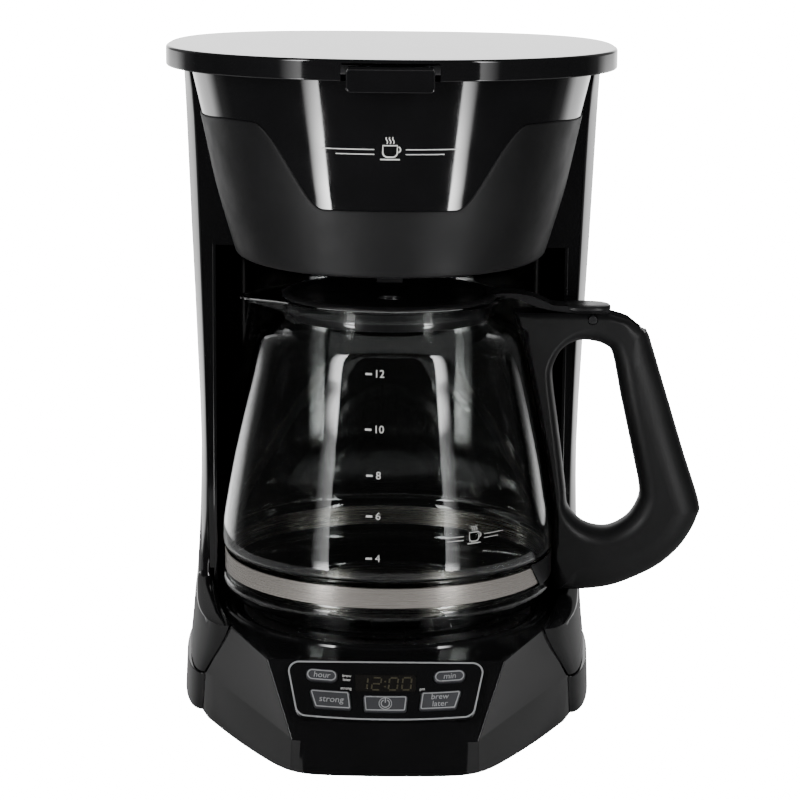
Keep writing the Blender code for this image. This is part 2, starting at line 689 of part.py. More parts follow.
def head_point(angle, z, inset=0.0):
    """Point of the brew head's skin at an angle round from its right rear edge."""
    half = table(HEAD_HALF_WIDTH, z) - inset
    reach = HEAD_REAR_Y - table(HEAD_FRONT_Y, z) - inset
    c = math.cos(angle)
    x = half * math.copysign(abs(c) ** (2 / 2.2), c)
    return (x, HEAD_REAR_Y - 0.4 - reach * abs(math.sin(angle)) ** (2 / 2.2), z)


def fascia_edge(angle):
    """Height of the swooping line between the gloss fascia and the matte band."""
    x = abs(head_point(angle, 275.0)[0])
    return 256.4 + 37.8 * ease((x - 31.5) / 29.0) - 1.5 * ease((x - 72.0) / 15.0)


def head_wall(low_of, high_of, levels, thickness):
    count = 36
    result = []
    for level in range(levels + 1):
        share = level / levels
        outer = []
        inner = []
        for i in range(count + 1):
            angle = math.pi * i / count
            z = low_of(angle) + (high_of(angle) - low_of(angle)) * share
            outer.append(head_point(angle, z))
            inner.append(head_point(angle, z, thickness))
        result.append((outer, inner))
    return strip(result)


def build_head(frame):
    band = head_wall(lambda a: HEAD_FLOOR_Z, lambda a: fascia_edge(a) - 0.25, 4, 2.4)
    make_object("brew_head_band", *band, MATTE_BLACK, frame)
    fascia = head_wall(lambda a: fascia_edge(a) + 0.25, lambda a: TOWER_TOP_Z, 4, 2.4)
    make_object("upper_fascia", *fascia, GLOSS_BLACK, frame)
    for side, word in ((1, "right"), (-1, "left")):
        outline = [(60.0, 229.6), (88.4, 229.6), (88.8, 288.0), (92.0, 306.0), (60.0, 306.0)]
        ring = [(side * x, z) for x, z in outline]
        cheek = loft([[(x, y, z) for x, z in ring] for y in (HEAD_REAR_Y + 0.4, HEAD_REAR_Y + 2.6)])
        make_object("head_cheek_" + word, *cheek, GLOSS_BLACK, frame)
    front = [head_point(math.pi * i / 28, HEAD_FLOOR_Z, 2.8)[:2] for i in range(29)]
    outline = front + list(reversed(bay_path()))
    floor = make_object("brew_head_floor", *loft([at_height(outline, HEAD_FLOOR_Z + 0.2),
                                                  at_height(outline, HEAD_FLOOR_Z + 3.0)]),
                        SATIN_BLACK, frame)
    cut(floor, "outlet_hole", *cylinder((0.0, BASKET_Y, 215.0), (0.0, BASKET_Y, 240.0), 9.0))
    y_pin, z_pin = LEVER_PIN
    ears = []
    for low, high in ((6.6, 9.0), (-9.0, -6.6)):
        side = [(y_pin - 4.0, HEAD_FLOOR_Z + 1.0), (y_pin - 3.0, z_pin - 3.0),
                (y_pin + 3.0, z_pin - 3.0), (y_pin + 4.0, HEAD_FLOOR_Z + 1.0)]
        ears.append(loft([[(x, y, z) for y, z in side] for x in (low, high)]))
    weld(floor, "lever_ears", *join(*ears))
    cut(floor, "ear_bore", *cylinder((-20.0, y_pin, z_pin), (20.0, y_pin, z_pin), 1.25))


def build_basket(frame):
    """Filter basket with its swing handle and outlet."""
    outer = [(54.0, 300.0), (56.5, 300.0), (56.5, 298.0), (53.6, 297.4), (44.0, 236.0), (9.0, 231.4),
             (6.0, 231.0), (6.0, 224.6), (3.6, 224.6), (3.6, 233.0), (8.0, 233.6), (42.0, 238.0),
             (52.0, 297.0)]
    make_object("brew_basket", *lathe(outer, (0.0, BASKET_Y), 32), SATIN_BLACK, frame)
    arc = []
    for i in range(17):
        angle = math.pi * i / 16
        arc.append((49.0 * math.cos(angle), BASKET_Y - 12.0 * math.sin(angle), 293.0 + 8.0 * math.sin(angle)))
    path_tube("basket_handle", arc, 1.8, SATIN_BLACK, frame)


def build_drip_stop(frame):
    """Rocking lever that closes the outlet from below when the carafe leaves."""
    y_pin, z_pin = LEVER_PIN
    pivot = make_pivot("drip_lever_axis", (0.0, y_pin, z_pin), frame)
    side = [(y_pin - 3.0, z_pin - 4.0), (y_pin - 2.6, 200.5), (y_pin - 1.0, 200.0), (y_pin + 1.6, 201.5),
            (y_pin + 3.0, z_pin), (y_pin + 2.0, z_pin + 2.4), (y_pin - 2.0, z_pin + 2.4),
            (y_pin - 7.0, 217.6), (BASKET_Y - 9.0, 217.6), (BASKET_Y - 9.0, 215.6), (y_pin - 6.0, 215.2)]
    lever = loft([[(x, y, z) for y, z in side] for x in (-6.2, 6.2)])
    lever_obj = make_object("drip_stop_lever", *lever, SATIN_BLACK, pivot, (0.0, y_pin, z_pin))
    cut(lever_obj, "lever_bore", *cylinder((-20.0, y_pin, z_pin), (20.0, y_pin, z_pin), 1.3))
    seal = turned([(8.0, 217.9), (8.0, 219.6), (4.0, 220.2)], (0.0, BASKET_Y), FINE)
    make_object("drip_stop_seal", *seal, SILICONE, pivot, (0.0, y_pin, z_pin))
    pin = cylinder((-9.6, y_pin, z_pin), (9.6, y_pin, z_pin), 1.2)
    make_object("lever_pin", *pin, STEEL, frame)
    coil = []
    for i in range(41):
        angle = 2 * math.pi * i / 10
        coil.append((9.9 + 0.18 * i, y_pin + 3.0 * math.cos(angle), z_pin + 3.0 * math.sin(angle)))
    path_tube("drip_stop_spring", coil, 0.4, STEEL, frame, sides=1)


# ---- top lid ----
def build_lid(frame):
    pivot = make_pivot("lid_axis", (0.0, HINGE_Y, HINGE_Z), frame)
    hinge = (0.0, HINGE_Y, HINGE_Z)

    def outline(inset):
        return superellipse(LID_HALF_WIDTH - inset, LID_FRONT_Y + inset, LID_REAR_Y - inset,
                            LID_FRONT_POWER, LID_REAR_POWER)

    bottom = LID_TOP_Z - LID_RIM_HEIGHT
    outer = [at_height(outline(0.4), bottom), at_height(outline(0.0), bottom + 0.8),
             at_height(outline(0.0), LID_TOP_Z - 2.0), at_height(outline(0.8), LID_TOP_Z - 0.6),
             at_height(outline(2.4), LID_TOP_Z)]
    inner = [at_height(outline(3.0), bottom), at_height(outline(3.0), LID_TOP_Z - 2.8)]
    lid = make_object("lid_cover", *cup(outer, inner), GLOSS_BLACK, pivot, hinge)
    notch = block((-21.9, -120.0, 300.0), (21.9, -100.0, 324.6))
    cut(lid, "tab_notch", *notch)
    relief = block((-49.0, 100.0, 310.0), (49.0, 118.0, 323.8))
    cut(lid, "hinge_relief", *relief)
    tab_side = [(-114.4, 312.6), (-112.8, 311.6), (-110.8, 312.6), (-110.8, 318.0), (-104.0, 320.0),
                (-104.0, 322.6), (-110.4, 322.9), (-113.4, 321.4)]
    tab = loft([[(x, y, z) for y, z in tab_side] for x in (-19.6, 19.6)])
    tab_obj = make_object("lid_tab", *tab, GLOSS_BLACK, pivot, hinge)
    bevel(tab_obj, 0.6)
    liner_out = [at_height(outline(14.0), 318.2), at_height(outline(12.0), 319.2),
                 at_height(outline(12.0), LID_TOP_Z - 3.2)]
    liner_in = [at_height(outline(24.0), 318.2), at_height(outline(24.0), 321.0)]
    liner = make_object("lid_liner", *cup(liner_out, liner_in), SATIN_BLACK, pivot, hinge)
    cut(liner, "liner_relief", *block((-60.0, 92.0, 310.0), (60.0, 118.0, 330.0)))
    head = turned([(20.0, 308.0), (23.0, 309.0), (26.0, 320.6)], (0.0, BASKET_Y), 32)
    spray = make_object("shower_head", *head, SATIN_BLACK, pivot, hinge)
    holes = []
    for i in range(8):
        angle = math.pi * i / 4
        x = 13.0 * math.cos(angle)
        y = BASKET_Y + 13.0 * math.sin(angle)
        holes.append(cylinder((x, y, 300.0), (x, y, 312.0), 1.5, 10))
    cut(spray, "spray_holes", *join(*holes))
    knuckles = []
    for side in (1, -1):
        low, high = sorted((side * 28.4, side * 43.2))
        profile = [(HINGE_Y + 3.2 * math.cos(math.pi * i / 8), HINGE_Z + 3.2 * math.sin(math.pi * i / 8))
                   for i in range(-8, 1)]
        profile += [(HINGE_Y + 3.2, 324.6), (HINGE_Y - 3.2, 324.6)]
        knuckles.append(loft([[(x, y, z) for y, z in profile] for x in (low, high)]))
    weld(lid, "hinge_knuckles", *join(*knuckles))
    cut(lid, "knuckle_bore", *cylinder((-60.0, HINGE_Y, HINGE_Z), (60.0, HINGE_Y, HINGE_Z), 1.6))


# ---- carafe ----
GLASS_OUTER = [(58.0, CARAFE_BOTTOM_Z), (66.0, 48.6), (73.0, 52.5), (78.6, 57.0), (81.9, 61.5),
               (81.6, 65.5), (80.1, 67.0), (80.0, 78.2), (82.3, 82.0), (81.4, 98.0), (77.6, 123.0),
               (73.0, 147.0), (66.8, 178.0), (63.6, 187.0), (56.0, 192.8), (51.8, 197.0),
               (56.0, RIM_TOP_Z)]
GLASS_WALL = 2.2
SPOUT_REACH = 16.5


def with_spout(ring):
    """Pull the part of a rim ring that faces -X out into the pouring spout."""
    result = []
    for x, y, z in ring:
        angle = math.atan2(abs(y), -x)
        rise = ease((z - 193.0) / (RIM_TOP_Z - 193.0))
        pull = SPOUT_REACH * rise * max(0.0, 1.0 - (angle / 0.62) ** 2) ** 1.5
        result.append((x - pull, y * (1.0 - 0.015 * pull), z - 0.22 * pull * rise))
    return result


def build_carafe_glass(pivot):
    outer = [with_spout(ring_at(r, z)) for r, z in GLASS_OUTER]
    inner_profile = [(r - GLASS_WALL, z) for r, z in GLASS_OUTER[1:]]
    inner_profile[0] = (60.0, CARAFE_BOTTOM_Z + GLASS_WALL)
    inner_profile[1] = (70.0, 53.4)
    inner_profile[2] = (76.2, 58.6)
    inner = [with_spout(ring_at(r, z)) for r, z in inner_profile]
    make_object("carafe_glass", *cup(list(reversed(outer)), list(reversed(inner))), GLASS, pivot)


def build_band(pivot):
    low, high = BAND_Z
    make_object("carafe_band", *lathe([(80.5, low), (BAND_RADIUS, low), (BAND_RADIUS, high), (80.5, high)]),
                STEEL, pivot)


def glass_radius(z):
    points = [(height, radius) for radius, height in GLASS_OUTER]
    return table(points, z)


HANDLE_HOLE = [(81.3, 166.8), (87.0, 178.0), (97.7, 181.9), (107.1, 179.0), (110.5, 173.5), (122.0, 122.6),
               (124.2, 110.6), (122.7, 99.6), (115.9, 92.8), (105.2, 89.6), (95.4, 92.6), (89.6, 99.2),
               (86.0, 131.9)]
HANDLE_BACK = [(125.1, 189.7), (127.7, 184.7), (146.9, 122.8), (HANDLE_REACH, 98.3), (153.8, 92.7),
               (145.3, 78.1), (134.1, 68.7), (122.7, 62.3), (111.3, 58.3), (99.8, 56.1), (89.2, 55.8),
               (83.4, 56.4)]


def handle_outline(slotted):
    """Side outline of the handle in the x-z plane; the slotted one clears the lid's arm."""
    inner_edge = []
    for z in (64.0, 72.0, 79.0, 82.0, 95.0, 110.0, 125.0, 140.0, 155.0, 170.0, 181.0):
        reach = max(glass_radius(z), BAND_RADIUS if 60.0 < z < 85.0 else 0.0)
        inner_edge.append((reach + 0.7, z))
    if slotted:
        top = [(66.5, 186.8), (80.0, 188.0), (92.0, 189.6), (104.0, 189.8), (116.0, 188.6)]
        back = [(124.6, 187.6)] + HANDLE_BACK[1:]
    else:
        top = [(65.8, 187.6), (62.0, 191.0), (60.5, 197.6), (80.0, 197.8), (108.0, 197.4)]
        back = HANDLE_BACK
    return inner_edge + top + back


def build_handle(pivot):
    full = handle_outline(False)
    slotted = handle_outline(True)
    edge = HANDLE_HALF_WIDTH
    slot = SLOT_HALF_WIDTH
    shrunk = offset_path(full, -2.6 if orientation(full) < 0 else 2.6, closed=True)
    layers = [(-edge, shrunk), (-edge + 2.8, full), (-slot - 0.05, full), (-slot, slotted), (slot, slotted),
              (slot + 0.05, full), (edge - 2.8, full), (edge, shrunk)]
    body = loft([[(x, y, z) for x, z in outline] for y, outline in layers])
    handle = make_object("carafe_handle", *body, SATIN_BLACK, pivot)
    hole = HANDLE_HOLE
    flare = offset_path(hole, 3.0 if orientation(hole) < 0 else -3.0, closed=True)
    hole_layers = [(-edge - 1.0, flare), (-edge + 0.4, flare), (-edge + 4.0, hole), (edge - 4.0, hole),
                   (edge - 0.4, flare), (edge + 1.0, flare)]
    cut(handle, "finger_hole", *loft([[(x, y, z) for x, z in outline] for y, outline in hole_layers]))
    x, z = LID_PIN
    cut(handle, "handle_bore", *cylinder((x, -30.0, z), (x, 30.0, z), 2.25))
    strap = lathe([(60.0, BAND_Z[0] - 0.6), (BAND_RADIUS + 0.4, BAND_Z[0] - 0.6),
                   (BAND_RADIUS + 0.4, BAND_Z[1] + 0.6), (60.0, BAND_Z[1] + 0.6)])
    cut(handle, "band_relief", *strap)


def orientation(points):
    """Positive for an outline that runs anticlockwise."""
    closed = points + [points[0]]
    return sum(a[0] * b[1] - b[0] * a[1] for a, b in zip(closed, closed[1:]))


def build_carafe_lid(pivot):
    """Lid inside the rim, its arm to the pin and the thumb lever behind the pin."""
    x, z = LID_PIN
    lid_pivot = make_pivot("carafe_lid_axis", (x, 0.0, z), pivot)
    disc = lathe([(46.5, 193.0), (48.0, 193.0), (48.6, 203.2), (52.6, 203.9), (52.6, 205.4), (50.0, 206.2),
                  (34.0, 204.6), (6.0, 202.4), (6.0, 200.6), (34.0, 202.6), (46.5, 203.0)])
    lid = make_object("carafe_lid", *disc, SATIN_BLACK, lid_pivot, (x, 0.0, z))
    half = SLOT_HALF_WIDTH - 0.5
    side = [(47.5, 204.2), (60.0, 204.2), (70.0, 200.6), (78.0, 198.6), (92.0, 197.0), (94.6, 191.6),
            (98.9, 190.4), (103.2, 191.6), (104.2, 195.2), (108.9, 195.8), (108.9, 200.4), (106.0, 201.2),
            (92.0, 201.2), (79.6, 200.9), (70.2, 204.6), (60.0, 206.4), (47.5, 205.9)]
    weld(lid, "lid_arm", *loft([[(px, y, pz) for px, pz in side] for y in (-half, half)]))
    cut(lid, "lid_bore", *cylinder((x, -30.0, z), (x, 30.0, z), 2.3))
    pin = cylinder((x, -HANDLE_HALF_WIDTH - 0.2, z), (x, HANDLE_HALF_WIDTH + 0.2, z), 2.1)
    make_object("carafe_lid_pin", *pin, SATIN_BLACK, pivot)


def build_carafe(frame):
    pivot = make_pivot("carafe_axis", (0.0, 0.0, 0.0), frame)
    build_carafe_glass(pivot)
    build_band(pivot)
    build_handle(pivot)
    build_carafe_lid(pivot)


def build_cord_gland(frame, tower):
    """Strain relief on the rear wall and the hole where the cord leaves."""
    cut(tower, "cord_hole", *cylinder((0.0, 95.0, CORD_Z), (0.0, 110.0, CORD_Z), 3.4))
    gland = lathe([(3.4, 0.0), (8.0, 0.0), (8.0, 1.8), (6.0, 2.2), (5.2, 9.0), (3.4, 9.0)], segments=FINE)
    turn = Matrix.Rotation(math.radians(-90), 3, "X")
    verts = [tuple(turn @ Vector(v) + Vector((0.0, TOWER_REAR_Y + GAP, CORD_Z))) for v in gland[0]]
    make_object("cord_gland", verts, gland[1], RUBBER, frame)


def build():
    for obj in list(bpy.data.objects):
        bpy.data.objects.remove(obj, do_unlink=True)
    frame = bpy.data.objects.new("machine_frame", None)
    bpy.context.scene.collection.objects.link(frame)
    frame.location = (SHIFT_X / 1000.0, SHIFT_Y / 1000.0, 0.0)
    base = build_base(frame)
    build_panel(frame, base)
    build_underside(frame)
    build_heater(frame)
    tower = build_tower(frame)
    build_hinge_ears(frame, tower)
    build_bay_wall(frame)
    build_tank(frame)
    build_head(frame)
    build_basket(frame)
    build_drip_stop(frame)
    build_lid(frame)
    build_carafe(frame)
    build_cord_gland(frame, tower)


build()
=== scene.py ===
"""Looks of a drip coffee maker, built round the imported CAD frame.

Sizes are millimetres in the machine's own frame: z = 0 is the table, the carafe's axis is
x = y = 0 and the front faces -Y. place() turns them into metres in the row's frame.
"""
import json
import math

import bmesh
import bpy
from mathutils import Matrix, Vector


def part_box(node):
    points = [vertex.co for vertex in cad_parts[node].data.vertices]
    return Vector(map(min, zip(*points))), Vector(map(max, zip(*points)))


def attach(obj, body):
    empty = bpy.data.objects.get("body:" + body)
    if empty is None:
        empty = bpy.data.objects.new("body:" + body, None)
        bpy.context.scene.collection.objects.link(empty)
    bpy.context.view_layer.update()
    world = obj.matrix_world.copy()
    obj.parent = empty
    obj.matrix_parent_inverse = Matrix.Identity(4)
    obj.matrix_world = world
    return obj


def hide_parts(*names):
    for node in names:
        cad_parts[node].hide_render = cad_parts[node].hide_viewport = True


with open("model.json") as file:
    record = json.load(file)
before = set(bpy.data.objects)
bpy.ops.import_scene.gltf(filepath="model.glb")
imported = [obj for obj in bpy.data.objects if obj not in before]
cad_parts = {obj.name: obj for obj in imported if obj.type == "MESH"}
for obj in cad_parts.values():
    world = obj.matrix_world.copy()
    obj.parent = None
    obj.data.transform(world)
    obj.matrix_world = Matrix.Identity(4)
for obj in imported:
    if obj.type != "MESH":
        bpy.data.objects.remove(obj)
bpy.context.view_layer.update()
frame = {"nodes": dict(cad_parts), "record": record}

BAND_LOW, BAND_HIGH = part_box("carafe_band")
AXIS_X = (BAND_LOW[0] + BAND_HIGH[0]) / 2
AXIS_Y = (BAND_LOW[1] + BAND_HIGH[1]) / 2

# ---- camera: a long lens in front, looking slightly down ----
CAMERA_AT = (5.45, -1209.2, 399.6)
CAMERA_PITCH = 11.6
CAMERA_ROLL = 0.53
CAMERA_LENS = 112.3

# ---- driving sizes, as in the CAD model ----
LID_HALF_WIDTH = 108
LID_HALF_DEPTH = 113.5
LID_FRONT_POWER = 2.15
LID_REAR_POWER = 2.8
LID_TOP_Z = 326
TOWER_POWER = 2.5
TOWER_TURN_Y = 36
TOWER_REAR_Y = 104
TOWER_TOP_Z = 316
TOWER_WALL = 3
SKIRT_Z = 19.6
DECK_Z = 48
BASE_FRONT_Y = -124.9
SKIRT_FRONT_Y = -121.5
PANEL_LOW = (-119.3, 26)
PANEL_HIGH = (-97.8, 47.5)
PANEL_HALF_WIDTH = 46.2
PANEL_HALF_HEIGHT = 13.9
HEAD_FLOOR_Z = 226
HEAD_REAR_Y = 16
HEAD_POWER = 2.2
BAY_HALF_WIDTH = 86.4
BAY_REAR_Y = 86.5
PLATE_RADIUS = 72
RIM_TOP_Z = 203.5
BASKET_Y = -26
HINGE = (108, 319)
LID_PIN = (98.9, 194.4)
GLASS_WALL = 1.9
HANDLE_HALF_WIDTH = 12.5
SLOT_HALF_WIDTH = 8.3


def place(point):
    return (point[0] / 1000 + AXIS_X, point[1] / 1000 + AXIS_Y, point[2] / 1000)


# ---- curves and outlines ----
def table(points, value):
    """Read y at value on a smooth curve through (x, y) points in rising x."""
    count = len(points)
    slopes = []
    for i in range(count):
        a = points[max(0, i - 1)]
        b = points[min(count - 1, i + 1)]
        slopes.append((b[1] - a[1]) / (b[0] - a[0]))
    value = min(points[-1][0], max(points[0][0], value))
    for i in range(count - 1):
        (x0, y0), (x1, y1) = points[i], points[i + 1]
        if value <= x1:
            run = x1 - x0
            t = (value - x0) / run
            return (y0 * (1 + 2 * t) * (1 - t) ** 2 + y1 * t * t * (3 - 2 * t)
                    + run * t * (1 - t) * (slopes[i] * (1 - t) - slopes[i + 1] * t))
    return points[-1][1]


def ease(value):
    value = min(1, max(0, value))
    return value * value * (3 - 2 * value)


def spline(points, steps, closed=False):
    """Smooth Catmull-Rom path through plane or space points."""
    items = [Vector(p) for p in points]
    count = len(items)
    result = []
    for i in range(count if closed else count - 1):
        near = [k % count if closed else min(count - 1, max(0, k)) for k in range(i - 1, i + 3)]
        a, b, c, d = (items[k] for k in near)
        for k in range(steps):
            t = k / steps
            result.append(tuple(0.5 * (2 * b + (c - a) * t + (2 * a - 5 * b + 4 * c - d) * t * t
                                       + (3 * b - a - 3 * c + d) * t ** 3)))
    if not closed:
        result.append(tuple(items[-1]))
    return result


def offset_path(points, distance, closed=False):
    """Move a plan path to the left of its direction by distance."""
    count = len(points)
    result = []
    for i, (x, y) in enumerate(points):
        before = points[(i - 1) % count] if (closed or i > 0) else points[i]
        after = points[(i + 1) % count] if (closed or i < count - 1) else points[i]
        run = Vector((after[0] - before[0], after[1] - before[1])).normalized()
        result.append((x - run.y * distance, y + run.x * distance))
    return result


def straight(a, b, steps=12):
    """Points at even steps from a to b."""
    return [tuple(p + (q - p) * i / steps for p, q in zip(a, b)) for i in range(steps + 1)]


def dense(points, spacing):
    """Split the long sides of a closed outline."""
    result = []
    for a, b in zip(points, points[1:] + points[:1]):
        result += straight(a, b, max(1, math.ceil(math.dist(a, b) / spacing)))[:-1]
    return result


def averaged(values, reach):
    """Running mean of a closed row of numbers or points."""
    count = len(values)
    rows = [Vector(v) if isinstance(v, tuple) else v for v in values]
    return [sum((rows[(i + k) % count] for k in range(-reach, reach + 1)), rows[0] * 0) / (2 * reach + 1)
            for i in range(count)]


def rounded(points, radius, steps=8):
    """Round the corners of a closed plan outline."""
    result = []
    count = len(points)
    for i in range(count):
        corner = Vector(points[i])
        before = (Vector(points[i - 1]) - corner).normalized()
        after = (Vector(points[(i + 1) % count]) - corner).normalized()
        half = before.angle(after) / 2
        reach = radius / math.tan(half)
        centre = corner + (before + after).normalized() * (radius / math.sin(half))
        start = corner + before * reach - centre
        end = corner + after * reach - centre
        for k in range(steps + 1):
            result.append(tuple(centre + start.lerp(end, k / steps).normalized() * radius))
    return result


def oval(half_x, half_y, front_power, rear_power, segments=240):
    points = []
    for i in range(segments):
        angle = 2 * math.pi * i / segments
        c = math.cos(angle)
        s = math.sin(angle)
        power = front_power if s < 0 else rear_power
        points.append((half_x * math.copysign(abs(c) ** (2 / power), c),
                       half_y * math.copysign(abs(s) ** (2 / power), s)))
    return points


def box_outline(left, low, right, high):
    return [(left, low), (right, low), (right, high), (left, high)]


def span(side, near, far):
    """Low and high end of a stretch on one side (-1 or 1) of the middle."""
    return sorted((side * near, side * far))


def at_height(points, z):
    return [(x, y, z) for x, y in points]


# ---- solids as (vertices, faces) ----
def join(*solids):
    verts = []
    faces = []
    for solid_verts, solid_faces in solids:
        start = len(verts)
        verts.extend(solid_verts)
        faces.extend([tuple(start + i for i in face) for face in solid_faces])
    return verts, faces


def skin(rings):
    """Quads between rings of equal length."""
    count = len(rings[0])
    faces = []
    for level in range(len(rings) - 1):
        for i in range(count):
            j = (i + 1) % count
            low = level * count
            faces.append((low + i, low + j, low + count + j, low + count + i))
    return faces


def loft(rings):
    """Closed solid through rings, capped at both ends."""
    count = len(rings[0])
    faces = skin(rings)
    faces.append(tuple(reversed(range(count))))
    last = (len(rings) - 1) * count
    faces.append(tuple(range(last, last + count)))
    return sum(rings, []), faces


def hoop(rings):
    """Solid through a closed cycle of rings, like a tyre."""
    points = sum(rings, [])
    return points, [tuple(i % len(points) for i in face) for face in skin(rings + rings[:1])]


def strip(levels):
    """Wall with an open plan: each level is (outer points, inner points)."""
    return loft([outer + inner[::-1] for outer, inner in levels])


def ring_at(radius, z, centre=(0, 0), segments=160):
    turn = 2 * math.pi / segments
    return [(centre[0] + radius * math.cos(i * turn), centre[1] + radius * math.sin(i * turn), z)
            for i in range(segments)]


def lathe(profile, centre=(0, 0), segments=160):
    """Turn a closed (radius, z) profile that stays off the axis."""
    return hoop([ring_at(r, z, centre, segments) for r, z in profile])


def turned(profile, centre=(0, 0), segments=160):
    """Turn an open (radius, z) profile, closed flat at both ends."""
    return loft([ring_at(r, z, centre, segments) for r, z in profile])


def block(low, high):
    ring = box_outline(*low[:2], *high[:2])
    return loft([at_height(ring, low[2]), at_height(ring, high[2])])


def prism_y(outline, low, high):
    """Outline in the x-z plane carried from y = low to y = high."""
    return loft([[(x, y, z) for x, z in outline] for y in (low, high)])


def prism_x(outline, low, high):
    """Outline in the y-z plane carried from x = low to x = high."""
    return loft([[(x, y, z) for y, z in outline] for x in (low, high)])


def tube(points, radius, sides=12):
    """Round bar along a path, with flat ends."""
    rings = []
    for i, point in enumerate(points):
        run = Vector(points[min(i + 1, len(points) - 1)]) - Vector(points[max(i - 1, 0)])
        turn = Vector((0, 0, 1)).rotation_difference(run)
        ring = ring_at(radius, 0, segments=sides)
        rings.append([tuple(Vector(point) + turn @ Vector(p)) for p in ring])
    return loft(rings)


# ---- objects ----
def add_object(name, data):
    obj = bpy.data.objects.new(name, data)
    bpy.context.scene.collection.objects.link(obj)
    return obj


def evaluated_mesh(obj):
    """Copy of an object's mesh with its modifiers, or a text's outlines, applied."""
    bpy.context.view_layer.update()
    return bpy.data.meshes.new_from_object(obj.evaluated_get(bpy.context.evaluated_depsgraph_get()))


def make(name, shape, slot, replaces=(), body="machine", material=None, sharp=32):
    """Build a piece from (vertices, faces) in the slot's finish; without a body it's a helper."""
    mesh = bpy.data.meshes.new(name)
    mesh.from_pydata([place(v) for v in shape[0]], [], shape[1])
    tidy = bmesh.new()
    tidy.from_mesh(mesh)
    bmesh.ops.recalc_face_normals(tidy, faces=tidy.faces)
    tidy.to_mesh(mesh)
    tidy.free()
    obj = add_object(name, mesh)
    obj["sharp"] = sharp
    mesh.shade_smooth()
    mesh.set_sharp_from_angle(angle=math.radians(sharp))
    mesh.materials.append(material or MATERIALS[slot])
    if body:
        if replaces:
            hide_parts(*replaces)
        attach(obj, body)
    return obj


def bake(obj):
    """Replace an object's mesh by its evaluated mesh."""
    result = evaluated_mesh(obj)
    obj.modifiers.clear()
    obj.data = result


def modify(obj, kind, **settings):
    modifier = obj.modifiers.new(kind.lower(), kind)
    for name, value in settings.items():
        setattr(modifier, name, value)


def freeze(obj):
    """Turn an object's modifiers into its mesh, then shade its wide faces flat."""
    bake(obj)
    stale = obj.data.attributes.get("custom_normal")
    if stale:
        obj.data.attributes.remove(stale)
    obj.data.shade_smooth()
    obj.data.set_sharp_from_angle(angle=math.radians(obj["sharp"]))
    modify(obj, "WEIGHTED_NORMAL", keep_sharp=True)
    bake(obj)


def carve(obj, shape, operation="DIFFERENCE"):
    """Cut a solid out of a piece, or weld one on."""
    guide = make("guide", shape, None, body=None, material=obj.data.materials[0])
    modify(obj, "BOOLEAN", operation=operation, solver="EXACT", object=guide)
    freeze(obj)
    bpy.data.objects.remove(guide, do_unlink=True)


def soften(obj, width, segments, angle):
    """Round the sharp edges of a piece."""
    modify(obj, "BEVEL", width=width / 1000, segments=segments, limit_method="ANGLE",
           angle_limit=math.radians(angle))
    freeze(obj)


# ---- materials ----
def new_material(name):
    material = bpy.data.materials.new(name)
    material.use_nodes = True
    return material, material.node_tree, material.node_tree.nodes["Principled BSDF"]


def wire(tree, node, inputs):
    """Set inputs of a node by name, each to a value or to another node's output."""
    for name, value in inputs.items():
        if isinstance(value, bpy.types.NodeSocket):
            tree.links.new(value, node.inputs[name])
        else:
            node.inputs[name].default_value = value


def add_node(tree, kind, output, inputs=None, operation=None):
    """Add a node and return one of its outputs."""
    node = tree.nodes.new("ShaderNode" + kind)
    if operation:
        node.operation = operation
    wire(tree, node, inputs or {})
    return node.outputs[output]


def noise(tree, scale, detail=3, stretch=(1, 1, 1)):
    coords = add_node(tree, "TexCoord", "Object")
    mapped = add_node(tree, "Mapping", "Vector", {"Scale": stretch, "Vector": coords})
    return add_node(tree, "TexNoise", "Fac", {"Scale": scale, "Detail": detail, "Vector": mapped})


def remap(tree, value, low, high, start=0.3, end=0.7):
    """Carry start..end to low..high."""
    return add_node(tree, "MapRange", "Result", {"From Min": start, "From Max": end, "To Min": low,
                                                 "To Max": high, "Value": value})


def mix_value(tree, factor, a, b):
    """Number a where factor is 0, b where it is 1; both may be outputs."""
    return add_node(tree, "Mix", "Result", {"Factor": factor, "A": a, "B": b})


def joined(tree, operation, a, b):
    return add_node(tree, "Math", "Value", {0: a, 1: b}, operation)


def two_tone(tree, value, dark, light):
    ramp = tree.nodes.new("ShaderNodeValToRGB")
    for element, position, color in zip(ramp.color_ramp.elements, (0.3, 0.7), (dark, light)):
        element.position = position
        element.color = (*color, 1)
    wire(tree, ramp, {"Fac": value})
    return ramp.outputs["Color"]


def bump(tree, height, strength, distance):
    inputs = {"Strength": strength, "Distance": distance, "Height": height}
    return add_node(tree, "Bump", "Normal", inputs)


def moulded(name, color, rough, smudge, grain_scale, grain, metallic=0, vary=0.15, coat=0, shine=0.5):
    """Moulded or coated surface: slight colour drift, handling smudges and a fine grain."""
    material, tree, shader = new_material(name)
    dark = tuple(c * (1 - vary) for c in color)
    light = tuple(c * (1 + vary) for c in color)
    wire(tree, shader, {"Base Color": two_tone(tree, noise(tree, 35), dark, light),
                        "Roughness": remap(tree, noise(tree, 55, 6), rough - smudge, rough + smudge),
                        "Normal": bump(tree, noise(tree, grain_scale, 2), grain, 0.0001),
                        "Metallic": metallic, "Coat Weight": coat, "Coat Roughness": 0.04,
                        "Specular IOR Level": shine})
    return material


def brushed(name, color, rough, stretch):
    """Brushed metal, its lines drawn out along the short axes of stretch."""
    material, tree, shader = new_material(name)
    lines = noise(tree, 1, 4, stretch)
    dark = tuple(c * 0.93 for c in color)
    wire(tree, shader, {"Base Color": two_tone(tree, lines, dark, color),
                        "Roughness": remap(tree, lines, rough - 0.04, rough + 0.04),
                        "Normal": bump(tree, lines, 0.1, 0.00004), "Metallic": 1})
    return material


